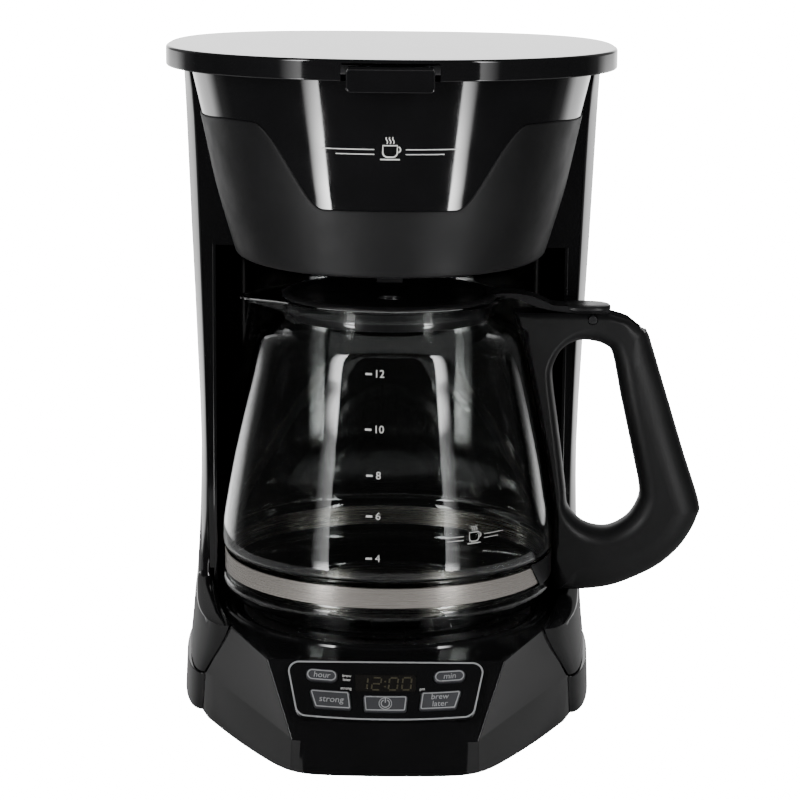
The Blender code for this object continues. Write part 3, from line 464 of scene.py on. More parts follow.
def clear_glass(name):
    material, tree, shader = new_material(name)
    tint = two_tone(tree, noise(tree, 20), (0.955, 0.975, 0.965), (0.985, 0.995, 0.99))
    wire(tree, shader, {"Base Color": tint, "Transmission Weight": 1, "IOR": 1.48,
                        "Roughness": remap(tree, noise(tree, 45, 5), 0, 0.035, 0.5, 0.8),
                        "Normal": bump(tree, noise(tree, 28, 2), 0.12, 0.0006)})
    return material


def glowing(name, color, strength):
    material, tree, shader = new_material(name)
    grain = two_tone(tree, noise(tree, 900), tuple(c * 0.6 for c in color), color)
    wire(tree, shader, {"Base Color": grain, "Emission Color": (*color, 1),
                        "Emission Strength": strength})
    return material


GRIP = moulded("grip_pp", (0.009, 0.009, 0.0095), 0.45, 0.05, 2400, 0.2, shine=0.36)
MATERIALS = {
    "gloss_black": moulded("gloss_black_abs", (0.006, 0.006, 0.0065), 0.075, 0.03, 260, 0.035,
                           coat=0.25),
    "matte_black": moulded("matte_black_abs", (0.008, 0.008, 0.0085), 0.5, 0.05, 3400, 0.35, shine=0.24),
    "satin_black": moulded("satin_black_pp", (0.014, 0.014, 0.015), 0.36, 0.06, 2200, 0.18),
    "key_grey": moulded("key_grey", (0.055, 0.056, 0.062), 0.42, 0.05, 2600, 0.2),
    "inner_grey": moulded("inner_grey", (0.15, 0.15, 0.16), 0.45, 0.06, 900, 0.12),
    "rubber": moulded("foot_rubber", (0.02, 0.02, 0.02), 0.82, 0.06, 1500, 0.4),
    "silicone": moulded("silicone", (0.6, 0.6, 0.57), 0.48, 0.08, 500, 0.1, vary=0.06),
    "glass": clear_glass("borosilicate"),
    "smoked": moulded("smoked_window", (0.012, 0.011, 0.01), 0.06, 0.02, 150, 0.02, coat=0.5),
    "steel": brushed("brushed_steel", (0.68, 0.635, 0.59), 0.27, (9, 9, 2600)),
    "aluminium": moulded("aluminium", (0.66, 0.66, 0.68), 0.38, 0.08, 1200, 0.2, metallic=1),
    "coated_steel": moulded("plate_coating", (0.014, 0.014, 0.014), 0.3, 0.07, 1900, 0.15),
    "board": moulded("solder_mask", (0.012, 0.085, 0.032), 0.35, 0.08, 700, 0.3),
}
PRINT_WHITE = moulded("white_print", (0.72, 0.72, 0.7), 0.45, 0.06, 2500, 0.1, vary=0.08)
PRINT_SILVER = moulded("silver_print", (0.52, 0.53, 0.54), 0.32, 0.06, 2500, 0.1, metallic=0.35,
                       vary=0.08)
DIGITS = glowing("dim_digits", (0.045, 0.04, 0.022), 0.25)


def dress_cad_nodes():
    """Every CAD node that stays visible gets the finish of its material slot."""
    slots = {part["node"]: part["material_slot"] for part in frame["record"]["subparts"]}
    for name, obj in frame["nodes"].items():
        obj.data.materials.clear()
        obj.data.materials.append(MATERIALS[slots[name]])


# ---- lines and letters laid on a surface ----
def ribbon(path, width, surface, lift=0.06, closed=False):
    """Flat line of a given width along a (u, v) path, laid on surface(u, v, out)."""
    left = offset_path(path, width / 2, closed)
    right = offset_path(path, -width / 2, closed)
    rings = []
    for (lu, lv), (ru, rv) in zip(left, right):
        rings.append([surface(lu, lv, lift), surface(ru, rv, lift),
                      surface(ru, rv, -0.05), surface(lu, lv, -0.05)])
    return hoop(rings) if closed else loft(rings)


def letters(text, size, surface, u, v, lift=0.06, shear=0):
    """Text centred at (u, v) on surface(u, v, out)."""
    curve = bpy.data.curves.new("letters", "FONT")
    for key, value in (("body", text), ("size", size), ("align_x", "CENTER"), ("align_y", "CENTER"),
                       ("shear", shear), ("extrude", 0.05), ("resolution_u", 4)):
        setattr(curve, key, value)
    holder = add_object("letters", curve)
    flat = evaluated_mesh(holder)
    verts = [surface(u + p.co.x, v + p.co.y, lift + p.co.z - 0.05) for p in flat.vertices]
    faces = [tuple(face.vertices) for face in flat.polygons]
    bpy.data.objects.remove(holder, do_unlink=True)
    return verts, faces


def arc(centre, radius, start, end, steps):
    """Points round a centre from start to end degrees."""
    turns = [math.radians(start + (end - start) * i / steps) for i in range(steps + 1)]
    return [(centre[0] + radius * math.cos(a), centre[1] + radius * math.sin(a)) for a in turns]


def cup_sign(surface, u, v, size, reach):
    """Generic sign: a cup with steam, between two thin rules."""
    def at(points):
        return [(u + x * size, v + y * size) for x, y in points]
    line = 0.11 * size
    bowl = [(-0.62, 0.35), *arc((-0.22, -0.25), 0.4, 180, 270, 10)]
    bowl += [*arc((0.22, -0.25), 0.4, 270, 360, 10), (0.62, 0.35)]
    parts = [ribbon(at(bowl), line, surface, closed=True),
             ribbon(at(arc((0.66, 0), 0.24, 75, -75, 14)), line, surface),
             ribbon(at(straight((-0.85, -0.86), (0.85, -0.86))), line, surface)]
    for x in (-0.28, 0, 0.28):
        wave = [(x + 0.07 * math.sin(6 * t), 0.52 + 0.55 * t) for t in (i / 10 for i in range(11))]
        parts.append(ribbon(at(wave), line * 0.8, surface))
    for side in (-1, 1):
        for drop, end in ((0, 1), (-0.42, 0.72)):
            near = (u + side * 1.35 * size, v + drop * size)
            far = (u + side * (1.35 * size + (reach - 1.35 * size) * end), v + drop * size)
            low, high = sorted((near, far))
            parts.append(ribbon(straight(low, high, 24), line * 0.7, surface))
    return join(*parts)


# ---- tower ----
TOWER_HALF_WIDTH = [(0, 103.6), (14, 102), (25, 100.8), (41, 99.2), (61, 97.8), (94, 96.3), (122, 95.8),
                    (146, 96.4), (175, 97.6), (199, 98.5), (247, 100.6), (286, 102), (316, 103.4)]
TOWER_FRONT_X = [(20, 90), (48, 76.5), (50, 81), (52, 84.8), (54, 88.4), (55, 89.6), (58, 90.6),
                 (68, 91), (90, 91.4), (199, 93.2), (289, 96), (316, 99.6)]
TOWER_FRONT_Y = [(20, -31.5), (48, -45), (50, -31), (52, -14), (54, 6), (55, 14), (58, 17),
                 (90, 18), (316, 18)]


def tower_path(z, front=None, widen=0):
    """Right half of the tower's plan at height z, from its front edge to the rear middle."""
    half = table(TOWER_HALF_WIDTH, z) + widen
    front_x, front_y = front or (table(TOWER_FRONT_X, z), min(18, table(TOWER_FRONT_Y, z)))
    flatness = 0 if front else ease((z - 60) / 30)
    points = []
    for i in range(14):
        angle = i / 14 * math.pi / 2
        across = math.sin(angle) * (1 - flatness) + (i / 14) ** 0.75 * flatness
        along = (1 - math.cos(angle)) * (1 - flatness) + i / 14 * flatness
        points.append((front_x + (half - front_x) * across, front_y + (TOWER_TURN_Y - front_y) * along))
    depth = TOWER_REAR_Y + widen - TOWER_TURN_Y
    power = 2 / TOWER_POWER
    return points + [(half * c ** power, TOWER_TURN_Y + depth * s ** power)
                     for c, s in arc((0, 0), 1, 0, 90, 40)]


SIDES = ((1, "right"), (-1, "left"))


def mirrored(half_path):
    return half_path + [(-x, y) for x, y in reversed(half_path[:-1])]


def tower_surface(u, v, out):
    """Point on the right side wall: u along y from the window's middle, v is z."""
    return (table(TOWER_HALF_WIDTH, v) + 0.5 + out, 52 + u, v)


def build_tower():
    heights = [20.4, 28, 36, 43, 47.8, 49, 50, 51, 52, 53, 54, 55, 56, 58, 62, 68, 78, 90, 106, 122, 145,
               170, 199, 232, 267, 289, 302, 313.5, 315.4, TOWER_TOP_Z]
    levels = []
    for z in heights:
        shrink = {TOWER_TOP_Z: 0.8, 315.4: 0.2, 20.4: 0.5}.get(z, 0)
        levels.append([at_height(offset_path(mirrored(tower_path(z)), depth), z)
                       for depth in (shrink, TOWER_WALL)])
    tower = make("tower_skin", strip(levels), "gloss_black", ["tower_shell"])
    carve(tower, block((90, 46.6, 127.2), (106, 57.4, 287.8)))
    vents = []
    for row in range(5):
        z = 64 + 7 * row
        for side in (-1, 1):
            low, high = span(side, 22, 58)
            vents.append(prism_y(rounded(box_outline(low, z, high, z + 2.5), 1.2, 5), 90, 110))
    vents.append(tube([(0, 95, 44), (0, 110, 44)], 3.4, 32))
    carve(tower, join(*vents))
    rear = [(x, y) for x, y in mirrored(tower_path(TOWER_TOP_Z)) if abs(x) < 50]
    crest = strip([[at_height(offset_path(rear, depth), z) for depth in (0.2, 2.8)]
                   for z in (308, LID_TOP_Z - 3.6)])
    ears = []
    y, z = HINGE
    for side in (1, -1):
        for x, root in ((24, 101.4), (43.6, 98.4)):
            low, high = span(side, x, x + 4)
            outline = [(root, 296), (TOWER_REAR_Y + 1, 298), (y + 3.8, 313)]
            outline += [(y + a, z + b) for a, b in arc((0, 0.2), 3.8, 0, 180, 16)] + [(root, 320)]
            ears.append(prism_x(outline, low, high))
    carve(tower, crest, "UNION")
    carve(tower, join(*ears), "UNION")
    soften(tower, 0.5, 2, 40)
    rings = []
    for z in [127.6 + 160 * i / 24 for i in range(25)]:
        x = table(TOWER_HALF_WIDTH, z)
        rings.append([(x - 3.4, 47, z), (x + 0.2, 47, z), (x + 0.5, 47.6, z), (x + 0.5, 56.4, z),
                      (x + 0.2, 57, z), (x - 3.4, 57, z)])
    make("level_window", loft(rings), "smoked", ["water_window"])
    marks = []
    for i, count in enumerate((4, 6, 8, 10, 12)):
        z = 146 + 32 * i
        marks.append(ribbon([(-4.2, z), (-1.6, z)], 0.6, tower_surface))
        marks.append(letters(str(count), 3.6, tower_surface, 1.4, z))
    make("level_marks", join(*marks), "smoked", material=PRINT_WHITE)


def bay_path(grow):
    """Plan of the bay's rear wall, from its right end to its left."""
    return [((BAY_HALF_WIDTH + grow) * c, HEAD_REAR_Y + (BAY_REAR_Y - HEAD_REAR_Y + grow) * s)
            for c, s in arc((0, 0), 1, 0, 180, 96)]


def build_bay():
    heights = (DECK_Z + 0.3, 60, 90, 130, 170, 205, HEAD_FLOOR_Z - 0.1)
    levels = [[at_height(bay_path(grow), z) for grow in (1.8, 0)] for z in heights]
    wall = make("bay_lining", strip(levels), "gloss_black", ["bay_wall"])
    soften(wall, 0.4, 2, 50)
    for side, word in SIDES:
        edge = [(side * (table(TOWER_FRONT_X, z) - 0.4), z) for z in (60, 110, 160, 210, 260, 306)]
        outline = [(side * 60, 226.1), (side * 87, 226.1), (side * 87, 60)] + edge + [(side * 60, 306)]
        make("bay_trim_" + word, prism_y(outline, HEAD_REAR_Y + 1.1, HEAD_REAR_Y + 2.3), "gloss_black")


# ---- brew head ----
HEAD_HALF_WIDTH = [(226, 76), (240, 80.2), (260, 85.8), (289, 92), (316, 98)]
FASCIA_INSET = 0.6
HEAD_WALL = 2.4
HEAD_FRONT_Y = [(226, -90), (260, -96), (289, -100), (316, -103.5)]


def head_point(angle, z, inset=0):
    """Point of the brew head's skin at an angle round from its right rear edge."""
    half = table(HEAD_HALF_WIDTH, z) - inset
    reach = HEAD_REAR_Y - table(HEAD_FRONT_Y, z) - inset
    c = math.cos(angle)
    x = half * math.copysign(abs(c) ** (2 / HEAD_POWER), c)
    return (x, HEAD_REAR_Y - 0.4 - reach * abs(math.sin(angle)) ** (2 / HEAD_POWER), z)


def head_surface(u, v, out):
    """Point on the fascia: u along x, v is z, out along the skin's front."""
    half = table(HEAD_HALF_WIDTH, v)
    angle = math.acos(math.copysign((abs(u) / half) ** (HEAD_POWER / 2), u))
    return (u, *head_point(angle, v, FASCIA_INSET - out)[1:])


def fascia_edge(angle):
    """Height of the swooping line between the gloss fascia and the matte band."""
    x = abs(head_point(angle, 275)[0])
    return 256.4 + 37.8 * ease((x - 31.5) / 29) - 1.5 * ease((x - 72) / 15)


def head_height(angle, share, rise):
    """Height from the head's floor (share 0) to the fascia's edge (1) and the tower's top (2)."""
    edge = fascia_edge(angle)
    if share > 1:
        return edge + (TOWER_TOP_Z - edge) * (share - 1) + rise
    return HEAD_FLOOR_Z + (edge - HEAD_FLOOR_Z) * share + rise


def head_wall(rows):
    """Wall of the head from (share, rise, inset) rows."""
    angles = [math.pi * i / 200 for i in range(201)]
    levels = []
    for share, rise, inset in rows:
        levels.append([[head_point(angle, head_height(angle, share, rise), depth) for angle in angles]
                       for depth in (inset, HEAD_WALL)])
    return strip(levels)


def build_head():
    rows = [(0, 0, 1), (0, 0.35, 0.35), (0, 1, 0.05)]
    rows += [(i / 14, 1.2 - 1.3 * i / 14, 0) for i in range(15)]
    rows += [(1, 0.35, 0.08), (1, 0.7, 0.35), (1, 0.85, 0.75)]
    make("matte_band", head_wall(rows), "matte_black", ["brew_head_band"], sharp=50)
    rows = [(1 + 0.985 * i / 16, 1 - 0.2955 * i / 16, FASCIA_INSET) for i in range(17)]
    make("gloss_fascia", head_wall(rows), "gloss_black", ["upper_fascia"], sharp=50)
    sign = cup_sign(head_surface, 0, 285.4, 5.2, 31)
    make("cup_badge", sign, "gloss_black", material=PRINT_WHITE)
    for side, word in SIDES:
        outline = rounded([(side * x, z) for x, z in ((60, 225.7), (88.4, 225.7), (88.8, 288),
                                                      (92, 306), (60, 306))], 1, 4)
        cheek = prism_y(outline, HEAD_REAR_Y - 0.7, HEAD_REAR_Y + 2.6)
        make("cheek_" + word, cheek, "gloss_black", ["head_cheek_" + word])


def build_basket():
    outer = [(54, 300), (56, 300.2), (56.6, 299.4), (56.5, 298), (53.6, 297.4), (44, 236),
             (40, 234.2), (9, 231.4), (6, 230), (6, 225), (5.6, 224.6), (3.6, 224.6),
             (3.6, 233), (8, 233.6), (40, 236.4), (42, 238), (52, 297)]
    make("filter_cup", lathe(outer, (0, BASKET_Y), 120), "satin_black", ["brew_basket"])
    ribs = []
    for i in range(20):
        turn = Matrix.Rotation(2 * math.pi * i / 20, 3, "Z")
        rings = []
        for r, z in ((42.6, 241), (52.2, 294)):
            bar = [(r, -0.6, z), (r, 0.6, z), (r - 1.4, 0.4, z), (r - 1.4, -0.4, z)]
            rings.append([tuple(turn @ Vector(p) + Vector((0, BASKET_Y, 0))) for p in bar])
        ribs.append(loft(rings))
    make("filter_ribs", join(*ribs), "satin_black")
    bail = [(49 * c, BASKET_Y - 12 * s, 293 + 8 * s) for c, s in arc((0, 0), 1, 0, 180, 40)]
    make("filter_bail", tube(bail, 1.7), "satin_black", ["basket_handle"])


# ---- base ----
def front_run(middle, turn, corner, end):
    """Points from the front's middle past its turn and the facet's corner to the facet's end."""
    points = []
    for a, b, steps in ((middle, turn, 3), (turn, corner, 5), (corner, end, 10)):
        points += [tuple(Vector(a).lerp(Vector(b), i / steps)) for i in range(steps)]
    return points + [tuple(end)]


def base_half(level):
    """Right half of the base's plan: front face, facet and groove, then the path behind."""
    facet_low = (Vector((43, -118, 16)), Vector((88.9, -33.4, 20.2)))
    facet_high = (Vector((55.5, -96, 47.6)), Vector((75.7, -46.6, DECK_Z)))
    if level == "bottom":
        front = spline([(0, BASE_FRONT_Y), (22, -124.2), (36.5, -122), (46.5, -115.4), (57, -100.8),
                        (72.6, -73.6), (87, -44.6)], 3)
        return at_height(front + tower_path(SKIRT_Z, front=(91, -31.5), widen=2), 0.8)
    if level == "skirt":
        front = front_run((0, SKIRT_FRONT_Y, 16), (22, -120.8, 16), facet_low[0], facet_low[1])
        return front + at_height(tower_path(SKIRT_Z, front=(90, -31.5), widen=1.2), SKIRT_Z)
    share, front_at, z_path = {
        "ledge": (0.04, (SKIRT_FRONT_Y + 0.23, 17), SKIRT_Z + 0.2),
        "panel_low": (0.32, PANEL_LOW, 26),
        "deck": (1, PANEL_HIGH, DECK_Z)}[level]
    corner, end = (low.lerp(high, share) for low, high in zip(facet_low, facet_high))
    points = front_run((0, *front_at), (22, front_at[0] + 0.6, front_at[1]), corner, end)
    path = tower_path(max(z_path, 20.4))
    inset = offset_path(mirrored(path), TOWER_WALL + 1)[:len(path)]
    away = (Vector(path[0]) - Vector(path[1])).normalized()
    inset[0] = tuple(Vector(inset[0]) + away * 1.4)
    return points + [(x, y, z_path) for x, y in inset]


def build_base():
    rings = []
    for level in ("bottom", "skirt", "ledge", "panel_low", "deck"):
        half = base_half(level)
        rings.append(half + [(-x, y, z) for x, y, z in reversed(half[1:-1])])
    base = make("base_housing", loft(rings), "gloss_black", ["base_shell"], sharp=20)
    soften(base, 1.8, 4, 20)
    low = offset_path([(x, y) for x, y, _ in rings[1]], 4.2, closed=True)
    carve(base, loft([at_height(low, -2), at_height(low, 15)]))
    carve(base, turned([(82, 46.2), (82, 60)]))
    carve(base, turned([(PLATE_RADIUS + 0.3, 36), (PLATE_RADIUS + 0.3, 60)]))
    carve(base, panel_prism(arched(rounded(grown(PANEL_OUTLINE, 0.3), 5.3)), -1.5, 6))
    carve(base, panel_prism(rounded(box_outline(-38.4, -10.8, 38.4, 12), 2), -8, 1))
    ring = [(72.8, 46.5), (81.5, 46.5), (81.7, 47.6), (81.2, 48.5), (80.3, 48.9), (79.4, 48.6),
            (78.9, 48.1), (78.3, 48.1), (77.8, 48.7), (77, 48.9), (76, 48.7), (75.2, 48.1), (73.4, 47.6)]
    make("plate_bezel", lathe(ring, segments=200), "gloss_black", ["plate_ring"])
    rim = [(2, 45), (2, 41), (0.2, 41), (0, 41.2), (0, 46.3), (0.3, 46.8), (0.9, 47)]
    plate = [(10, 45)] + [(PLATE_RADIUS - inset, z) for inset, z in rim]
    for radius in (60, 44, 28):
        plate += [(radius + 0.8, 47), (radius + 0.3, 46.7), (radius - 0.3, 46.7), (radius - 0.8, 47)]
    make("hot_plate", turned(plate, segments=200), "coated_steel", ["warming_plate"])


def panel_sag(u):
    return 2.8 * (u / PANEL_HALF_WIDTH) ** 2


def panel_point(u, v, out):
    """Point on the sloped control panel: u along x, v up the slope, out along its normal.

    The whole layout sags towards the middle like the edge of the base below it.
    """
    v += panel_sag(u) - 1.8
    middle_y = (PANEL_LOW[0] + PANEL_HIGH[0]) / 2
    middle_z = (PANEL_LOW[1] + PANEL_HIGH[1]) / 2
    slope = math.sqrt(0.5)
    return (u, middle_y + (v - out) * slope, middle_z + (v + out) * slope)


def panel_prism(outline, *outs):
    return loft([[panel_point(u, v, out) for u, v in dense(outline, 3)] for out in outs])


PANEL_OUTLINE = [(-40.6, -PANEL_HALF_HEIGHT), (40.6, -PANEL_HALF_HEIGHT),
                 (PANEL_HALF_WIDTH, PANEL_HALF_HEIGHT), (-PANEL_HALF_WIDTH, PANEL_HALF_HEIGHT)]
KEYS = {
    "hour": (box_outline(-36.9, 4.7, -22.3, 11), 3.1),
    "min": (box_outline(22.3, 4.7, 36.9, 11), 3.1),
    "strong": ([(-32.4, -9), (-15.4, -9), (-16.6, 0.4), (-35.4, 0.4)], 1.4),
    "power": ([(-9.6, -9.6), (9.6, -9.6), (10.4, -1.2), (-10.4, -1.2)], 1.4),
    "brew_later": ([(15.4, -9), (32.4, -9), (35.4, 0.4), (16.6, 0.4)], 1.4),
}
WINDOW = box_outline(-14, 1, 14, 9.6)
SEGMENTS = {"1": "bc", "2": "abged", "0": "abcdef"}


def arched(outline):
    """Smooth outline of the panel whose upper side runs level across the sag."""
    points = dense(outline, 2)
    return [(u, v + (3.1 - panel_sag(u)) * (v / PANEL_HALF_HEIGHT + 1) / 2) for u, v in points]


def grown(outline, distance):
    return offset_path(outline, -distance, closed=True)


def raised(height):
    """Surface that lies height above the control panel."""
    return lambda u, v, out: panel_point(u, v, height + out)


PANEL_TOP = raised(0.35)
GLASS_TOP = raised(0.3)
KEY_TOP = raised(1.25)


def digit(mark, u, v):
    """Seven-segment digit, 4.4 wide and 6.6 high, leaning a little."""
    places = {"a": ((-1.6, 3.1), (1.6, 3.1)), "g": ((-1.6, 0), (1.6, 0)),
              "d": ((-1.6, -3.1), (1.6, -3.1)), "f": ((-2, 0.4), (-2, 2.7)), "b": ((2, 0.4), (2, 2.7)),
              "e": ((-2, -2.7), (-2, -0.4)), "c": ((2, -2.7), (2, -0.4))}
    parts = []
    for segment in SEGMENTS[mark]:
        ends = [(u + x + 0.1 * y, v + y) for x, y in places[segment]]
        parts.append(ribbon(ends, 0.75, GLASS_TOP, 0.04))
    return join(*parts)


def build_panel():
    outline = arched(rounded(PANEL_OUTLINE, 5))
    panel = make("keypad_plate", panel_prism(outline, -1.2, 0.35), "gloss_black", ["control_panel"])
    holes = [(corners, radius, 0.3) for corners, radius in KEYS.values()] + [(WINDOW, 1.2, 0.12)]
    carve(panel, join(*[panel_prism(grown(rounded(corners, radius), gap), -8, 5)
                        for corners, radius, gap in holes]))
    soften(panel, 0.15, 2, 50)
    border = ribbon(arched(rounded(grown(PANEL_OUTLINE, -0.75), 4.6)), 0.75, PANEL_TOP, closed=True)
    make("keypad_border", border, "gloss_black", material=PRINT_SILVER)
    notes = [letters(text, 2, PANEL_TOP, u, v) for text, u, v in (
        ("brew", -18, 8.6), ("later", -18, 6.6), ("strong", -18.2, 2.2), ("pm", 17, 2.2))]
    make("keypad_notes", join(*notes), "gloss_black", material=PRINT_WHITE)
    window = panel_prism(rounded(WINDOW, 1.2), -1.6, 0.3)
    make("clock_window", window, "smoked", ["display_window"])
    digits = [digit(mark, u, 5.1) for mark, u in zip("1200", (-10.4, -4.2, 3.6, 9.8))]
    for v in (3.7, 6.3):
        digits.append(ribbon([(-0.6, v), (0.2, v)], 0.7, GLASS_TOP, 0.04))
    make("clock_digits", join(*digits), "smoked", material=DIGITS)
    words = {"hour": [("hour", 4, 0)], "min": [("min", 4, 0)], "strong": [("strong", 4.4, 0)],
             "brew_later": [("brew", 3.9, 1.9), ("later", 3.9, -1.7)]}
    for name, (corners, radius) in KEYS.items():
        shape = dense(rounded(corners, radius), 3)
        key = loft([[panel_point(u, v, out) for u, v in grown(shape, grow)]
                    for grow, out in ((0, -3), (0, 0.7), (-0.1, 1), (-0.35, 1.2), (-0.6, 1.25))])
        body = name + "_key"
        make(name + "_cap", key, "key_grey", [name + "_button"], body=body)
        middle_u = sum(u for u, _ in corners) / 4
        middle_v = sum(v for _, v in corners) / 4
        marks = [ribbon(grown(shape, -0.85), 0.5, KEY_TOP, closed=True)]
        for text, size, rise in words.get(name, ()):
            marks.append(letters(text, size, KEY_TOP, middle_u, middle_v + rise, shear=0.12))
        if name == "power":
            at = (middle_u, middle_v)
            marks.append(ribbon(arc(at, 2.9, 0, 357, 40), 0.35, KEY_TOP))
            marks.append(ribbon(arc(at, 1.9, 115, 425, 32), 0.5, KEY_TOP))
            marks.append(ribbon([(at[0], at[1] + 0.4), (at[0], at[1] + 3.3)], 0.55, KEY_TOP))
        make(name + "_print", join(*marks), "key_grey", body=body, material=PRINT_SILVER)


# ---- top lid ----
def lid_ring(inset, drop):
    """Outline of the lid, drawn in by inset, at drop below the lid's top."""
    return at_height(oval(LID_HALF_WIDTH - inset, LID_HALF_DEPTH - inset, LID_FRONT_POWER,
                          LID_REAR_POWER), LID_TOP_Z - drop)


def pan(outside, inside):
    """Upturned pan: (inset, drop) rows up its outside to the top, then along its underside."""
    outer, inner = ([lid_ring(*row) for row in rows] for rows in (outside, inside))
    count = len(outer[0])
    start = len(outer) * count
    last = start + (len(inner) - 1) * count
    faces = skin(outer) + [tuple(start + i for i in face) for face in skin(inner)]
    faces += [tuple(range(start - count, start)), tuple(range(start, start + count))]
    faces += [(i, (i + 1) % count, last + (i + 1) % count, last + i) for i in range(count)]
    return sum(outer + inner, []), faces


def build_lid():
    shell = pan([(0.5, 9.5), (0.1, 9.1), (0, 8.5), (0, 1.3), (0.1, 0.8), (0.38, 0.38), (0.8, 0.1),
                 (1.3, 0), (30, 0.05), (70, 0.25)], [(70, 2.9), (3.4, 2.8), (3, 3.2), (2.8, 9.5)])
    lid = make("top_lid", shell, "gloss_black", ["lid_cover"], body="lid")
    carve(lid, prism_y(rounded(box_outline(-21.9, 300, 21.9, 324.4), 1, 4), -120, -100))
    carve(lid, block((-49, 100, 310), (49, 118, 323.8)))
    y, z = HINGE
    knuckles = []
    for side in (1, -1):
        low, high = span(side, 28.4, 43.2)
        outline = [(y + a, z + b) for a, b in arc((0, 0), 3.2, 180, 360, 20)]
        knuckles.append(prism_x(outline + [(y + 3.2, 324.6), (y - 3.2, 324.6)], low, high))
    carve(lid, join(*knuckles), "UNION")
    carve(lid, tube([(-60, y, z), (60, y, z)], 1.6, 24))
    face = rounded(box_outline(-19.6, 311.6, 19.6, 322.9), 2.2, 8)
    shallow = [(x * 0.985, 317.2 + (h - 317.2) * 0.93) for x, h in face]
    tab = join(loft([[(x, -114.5, h) for x, h in shallow], [(x, -114.1, h) for x, h in face],
                     [(x, -111.4, h) for x, h in face]]),
               block((-18.5, -112, 318.2), (18.5, -104, 322.6)),
               prism_x([(-115, 321.9), (-114.4, 321.2), (-113.6, 321.6), (-113.6, 322.7)], -18.6, 18.6))
    soften(make("thumb_tab", tab, "gloss_black", ["lid_tab"], body="lid"), 0.25, 2, 40)
    liner = pan([(14, 7.8), (12.4, 7.4), (12, 6.6), (12, 3.2)], [(60, 5), (24.4, 5), (23.6, 7.6)])
    plate = make("lid_underside", liner, "satin_black", ["lid_liner"], body="lid")
    carve(plate, block((-60, 92, 310), (60, 118, 330)))
    spray = [(20, 308), (22.2, 308.2), (23, 309), (23.6, 311), (24, 311.2), (26, 320.6)]
    shower = make("spray_disc", turned(spray, (0, BASKET_Y), 96), "satin_black", ["shower_head"],
                  body="lid")
    holes = []
    for radius, number in ((6.5, 6), (13, 12)):
        for x, y, _ in ring_at(radius, 300, (0, BASKET_Y), number):
            holes.append(tube([(x, y, 300), (x, y, 311)], 1.1, 16))
    carve(shower, join(*holes))


# ---- carafe ----
GLASS_PROFILE = [(56, 47.4), (66, 48.6), (73, 52.5), (78.6, 57), (81.9, 61.5), (81.6, 65.5),
                 (80.1, 67), (79.9, 72.5), (80, 78.2), (82.2, 81.5), (82.4, 87.5), (81.4, 98),
                 (77.6, 123), (73, 147), (69.2, 165), (66.6, 178), (63.8, 186.5), (58, 191.8),
                 (53.4, 194.6), (51.8, 197.4), (53.2, 200.6), (56, RIM_TOP_Z)]
SPOUT_REACH = 16.5
CARAFE_SIDES = 224


def glass_radius(z):
    """Outer radius of the carafe's body at height z."""
    return table([(h, r) for r, h in GLASS_PROFILE[9:]], z)


def glass_surface(u, v, out):
    """Point on the carafe's front: u mm round from the front, v is z."""
    radius = glass_radius(v) + out
    angle = u / glass_radius(v)
    return (radius * math.sin(angle), -radius * math.cos(angle), v)


def with_spout(ring):
    """Pull the part of a rim ring that faces -X out into the pouring spout."""
    result = []
    for x, y, z in ring:
        angle = math.atan2(abs(y), -x)
        rise = ease((z - 193) / (RIM_TOP_Z - 193))
        pull = SPOUT_REACH * rise * max(0, 1 - (angle / 0.62) ** 2) ** 1.5
        result.append((x - pull, y * (1 - 0.015 * pull), z - 0.1 * pull * rise))
    return result


def build_carafe():
    outer = [(0.6, 47.4), (30, 47.4)] + spline(GLASS_PROFILE, 4)
    inner = [(r, max(z, 49.4)) for r, z in offset_path(spline(GLASS_PROFILE[1:], 4), GLASS_WALL)]
    inner[-1] = (inner[-1][0], RIM_TOP_Z - 0.2)
    bead = [(57.2, 0.3), (57.5, 0.8), (57.2, 1.3), (56.4, 1.5), (55.4, 1.3), (54.8, 0.7)]
    profile = outer + [(r, RIM_TOP_Z + rise) for r, rise in bead] + inner[::-1]
    profile += [(30, 49.4), (0.6, 49.4)]
    glass = turned(profile, segments=CARAFE_SIDES)
    make("carafe_body", (with_spout(glass[0]), glass[1]), "glass", ["carafe_glass"], body="carafe",
         sharp=60)
    band = [(80.5, 68), (80.9, 67.7), (81.2, 68), (81.2, 77.4), (80.9, 77.7), (80.5, 77.4)]
    make("steel_band", lathe(band, segments=CARAFE_SIDES), "steel", ["carafe_band"], body="carafe")
    marks = []
    for count, z in ((12, 177.2), (10, 151.8), (8, 130.7), (6, 112), (4, 92.3)):
        shift = 0 if count > 9 else 0.8
        marks.append(ribbon([(shift - 10.8, z), (shift - 7.8, z)], 0.9, glass_surface, 0.12))
        marks.append(letters(str(count), 5, glass_surface, -4.3, z, 0.12))
    marks.append(cup_sign(glass_surface, 43, 101, 4.2, 17.5))
    make("cup_scale", join(*marks), "glass", body="carafe", material=PRINT_WHITE)
    build_clip()


def build_clip():
    """Dark strap that holds the steel band at each side of the handle."""
    pieces = []
    for side in (-1, 1):
        levels = []
        for z, start in ((66.6, 66), (67.2, 65.6), (78.2, 58.6), (78.8, 58.4)):
            levels.append([at_height(arc((0, 0), radius, side * (90 - start), side * 6, 20), z)
                           for radius in (81.9, 81.3)])
        pieces.append(strip(levels))
    soften(make("band_clip", join(*pieces), "satin_black", body="carafe"), 0.2, 2, 40)


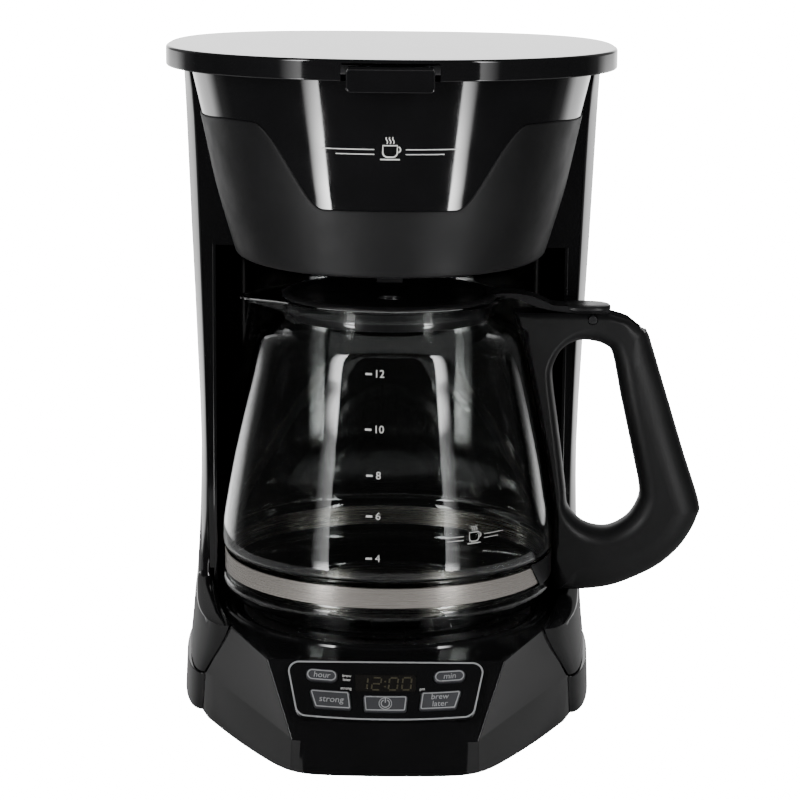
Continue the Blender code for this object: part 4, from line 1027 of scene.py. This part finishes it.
HANDLE_HOLE = [(96.8, 183), (105.6, 180.8), (110, 175.6), (114.3, 155.8), (118.9, 135.9), (122, 122.2),
               (124.4, 111.4), (124.7, 103.5), (120.1, 94.6), (112.6, 89.3), (105.2, 88.2), (96.4, 91.2),
               (89.5, 99.2), (87.9, 110.5), (85.7, 126.9), (83.4, 143.1), (80.6, 163), (80.8, 170.6),
               (84.6, 178.2), (90.4, 182.2)]
HANDLE_BACK = [(125.4, 189.7), (127.6, 185.4), (146.9, 125), (154.8, 101.4), (153.9, 94.2), (151, 87.2),
               (145.2, 78.3), (135.4, 69.3), (123.2, 62.7), (111.2, 58.2), (97.6, 56.3), (83.4, 56.2)]


# how far the grip's rounding reaches in beside the glass, on top, at the back and in the hole
GLASS_EDGE = 2
TOP_EDGE = 3.6
BACK_EDGE = 13.5
HOLE_EDGE_NEAR = 4.4
HOLE_EDGE_FAR = 8


def rounded_layers(outline, depths, side, overshoot=0):
    """Outline carried along y and drawn elliptically to one side (-1 in, 1 out) at both flats."""
    moved = offset_path(outline, side, closed=True)
    away = [(ox - x, oz - z) for (x, z), (ox, oz) in zip(outline, moved)]
    drawn = []
    for (x, z), run, depth in zip(outline, averaged(away, 8), depths):
        drawn.append(Vector((x, z)) + run.normalized() * depth)
    halves = [(1.6 + (HANDLE_HALF_WIDTH - 1.6) * s, 1 - c) for c, s in arc((0, 0), 1, 0, 90, 9)]
    halves.append((HANDLE_HALF_WIDTH + overshoot, 1.04))
    layers = []
    for y, share in [(-y, share) for y, share in reversed(halves)] + halves:
        layers.append([(px + (q.x - px) * share, y, pz + (q.y - pz) * share)
                       for (px, pz), q in zip(outline, drawn)])
    return loft(layers)


def pin_bar(radius, half_length, sides=32):
    """Bar along y where the carafe lid's pin is."""
    x, z = LID_PIN
    return tube([(x, -half_length, z), (x, half_length, z)], radius, sides)


def build_handle():
    """Grip with a large soft rounding outside, a smaller one in the finger hole."""
    inner_edge = [(max(glass_radius(z) if z > 81 else 80.5, 81.4 if z < 85 else 0) + 0.7, z)
                  for z in (64, 72, 79, 82, 95, 110, 125, 140, 155, 170, 181)]
    outline = inner_edge + [(65.8, 187.6), (62, 191), (60.5, 197.6), (80, 197.8), (108, 197.4)]
    outline += [(118, 194.6)] + HANDLE_BACK[:3]
    outline = dense(outline + spline(HANDLE_BACK[2:], 4)[1:], 2)
    depths = []
    for x, z in outline:
        on_glass = x < glass_radius(max(z, 81)) + 3 and z > 60
        depths.append(GLASS_EDGE if on_glass else TOP_EDGE if z > 189 else BACK_EDGE)
    handle = make("carafe_grip", rounded_layers(outline, averaged(depths, 7), -1), "satin_black",
                  ["carafe_handle"], body="carafe", material=GRIP, sharp=40)
    hole = dense(spline(HANDLE_HOLE, 6, closed=True), 2)
    depths = [HOLE_EDGE_NEAR if x < 92 else HOLE_EDGE_FAR for x, z in hole]
    carve(handle, rounded_layers(hole, averaged(depths, 6), 1, 1))
    slot = [(50, 187), (66.5, 186.8), (80, 188), (92, 189.6), (104, 189.8), (116, 188.6),
            (126, 187.6), (134, 215), (50, 215)]
    carve(handle, prism_y(slot, -SLOT_HALF_WIDTH, SLOT_HALF_WIDTH))
    carve(handle, pin_bar(2.45, 30))
    carve(handle, lathe(box_outline(70, 67.1, 81.6, 78.3), segments=CARAFE_SIDES))


def build_carafe_lid():
    disc = [(46.5, 193), (48, 193), (48.3, 193.4), (48.8, 203), (49.4, 203.6), (52.2, 203.8),
            (52.7, 204.2), (52.7, 205.1), (52.2, 205.5), (50.6, 206.1), (49.6, 206.2), (48.4, 205.8),
            (47, 205), (45, 204.6), (34, 204), (20, 203.2), (6, 202.6), (6, 200.6),
            (34, 202), (46.5, 202.6)]
    lid = make("pour_lid", lathe(disc, segments=160), "satin_black", ["carafe_lid"], body="carafe_lid")
    half = SLOT_HALF_WIDTH - 0.5
    side = spline([(47.5, 204.2), (60, 204.2), (70, 200.6), (78, 198.4), (90, 197)], 4)
    side += [(93.6, 196), (94.6, 192), (98.9, 190.4), (103.2, 192), (104.2, 196), (107.6, 197.6)]
    side += [(107.6, 199.4), (92, 199.9)] + spline([(79.6, 200.8), (70.2, 204.8), (60, 206.5),
                                                      (47.5, 205.9)], 4)
    carve(lid, prism_y(side, -half, half), "UNION")
    carve(lid, pin_bar(2.3, 30))
    soften(lid, 0.5, 3, 50)
    pad = []
    for grow, height in ((-1.6, 197.9), (-0.5, 198), (0, 198.6), (0, 199.7), (-0.5, 200.4),
                         (-1.6, 200.7), (-5, 200.8)):
        pad.append([(96.2 + (12.2 + grow) * px, (10.4 + grow) * py, height)
                    for px, py in oval(1, 1, 2.4, 2.4, 72)])
    make("thumb_pad", loft(pad), "satin_black", body="carafe_lid")
    cap = make("hinge_pin_cap", pin_bar(2.1, HANDLE_HALF_WIDTH + 0.2, 40), "satin_black",
               ["carafe_lid_pin"], body="carafe")
    soften(cap, 0.4, 3, 50)


# ---- studio: brightness in front, at the sides, just below the sides' horizon, and behind ----
PURE_WHITE = 20
FLOOR_RADIUS = 420
WORLD_FRONT = 0.03
WORLD_SIDE = 0.22
WORLD_BAND = 1.5
WORLD_BEHIND = 2.4


def build_stage():
    """Small pale floor that looks pure white, so that the glossy fronts still mirror the dark studio."""
    material, tree, shader = new_material("studio_floor")
    seen = add_node(tree, "LightPath", "Is Camera Ray")
    wire(tree, shader, {"Base Color": (0.55, 0.55, 0.55, 1), "Roughness": 0.7,
                        "Emission Color": (1, 1, 1, 1),
                        "Emission Strength": mix_value(tree, seen, 0.05, PURE_WHITE)})
    disc = loft([ring_at(FLOOR_RADIUS, z, segments=96) for z in (-4, 0)])
    floor = make("studio_floor", disc, None, body=None, material=material)
    world = bpy.data.worlds.new("studio_world")
    bpy.context.scene.world = world
    world.use_nodes = True
    tree = world.node_tree
    split = tree.nodes.new("ShaderNodeSeparateXYZ")
    wire(tree, split, {"Vector": add_node(tree, "TexCoord", "Generated")})
    depth = split.outputs["Y"]
    beside = remap(tree, depth, WORLD_FRONT, WORLD_SIDE, 0.45, 0.75)
    band = remap(tree, depth, 0, WORLD_BAND, 0.62, 0.78)
    for low, high, start, end in ((0, 1, -0.27, -0.21), (1, 0, -0.1, 0)):
        band = joined(tree, "MULTIPLY", band, remap(tree, split.outputs["Z"], low, high, start, end))
    beside = joined(tree, "ADD", beside, band)
    around = mix_value(tree, remap(tree, depth, 0, 1, 0.9, 0.99), beside, WORLD_BEHIND)
    seen = add_node(tree, "LightPath", "Is Camera Ray")
    wire(tree, tree.nodes["Background"], {"Color": (1, 1, 1, 1),
                                          "Strength": mix_value(tree, seen, around, PURE_WHITE)})


def add_light(name, at, target, size, glow, mirrored_too=True, fade=0):
    """Soft box of a given size and glow; fade is its dark side (-1, 0 or 1), dim at mid height too."""
    light = bpy.data.lights.new(name, "AREA")
    light.shape = "RECTANGLE"
    light.size = size[0]
    light.size_y = size[1]
    light.energy = glow * size[0] * size[1] * math.pi
    obj = add_object(name, light)
    obj.location = at
    obj.rotation_euler = (Vector(target) - Vector(at)).to_track_quat("-Z", "Y").to_euler()
    obj.visible_glossy = mirrored_too
    obj.visible_transmission = mirrored_too
    if fade:
        light.use_nodes = True
        tree = light.node_tree
        split = tree.nodes.new("ShaderNodeSeparateXYZ")
        wire(tree, split, {"Vector": add_node(tree, "NewGeometry", "Parametric")})
        low = remap(tree, split.outputs["Y"], 1, 0.07, 0.3, 0.38)
        high = remap(tree, split.outputs["Y"], 0, 0.5, 0.59, 0.62)
        start, end = (0.1, 0.9) if fade < 0 else (0.9, 0.1)
        across = remap(tree, split.outputs["X"], 0, 1, start, end)
        strength = joined(tree, "MULTIPLY", joined(tree, "MAXIMUM", low, high), across)
        wire(tree, tree.nodes["Emission"], {"Strength": strength})
    obj.visible_camera = False


def build_lights():
    add_light("strip_left", (-1.12, -1.05, 0.15), (-0.02, 0, 0.15), (0.36, 2.4), 46, fade=-1)
    add_light("strip_right", (1.05, -1.07, 0.15), (-0.02, 0, 0.15), (0.32, 2.4), 40, fade=1)
    add_light("front_fill", (0, -1.6, 0.9), (0, 0, 0.15), (1.2, 0.8), 1.2, False)
    add_light("top_soft", (0, -0.3, 1.6), (0, 0, 0.2), (1.4, 0.9), 1.4, False)


def build_camera():
    data = bpy.data.cameras.new("camera")
    data.lens = CAMERA_LENS
    data.sensor_width = 36
    camera = add_object("camera", data)
    turn = Matrix.Rotation(math.radians(90 - CAMERA_PITCH), 4, "X")
    roll = Matrix.Rotation(math.radians(CAMERA_ROLL), 4, "Z")
    camera.matrix_world = Matrix.Translation(place(CAMERA_AT)) @ turn @ roll
    bpy.context.scene.camera = camera


build_camera()
build_stage()
build_lights()
dress_cad_nodes()
build_tower()
build_bay()
build_head()
build_basket()
build_base()
build_panel()
build_lid()
build_carafe()
build_handle()
build_carafe_lid()
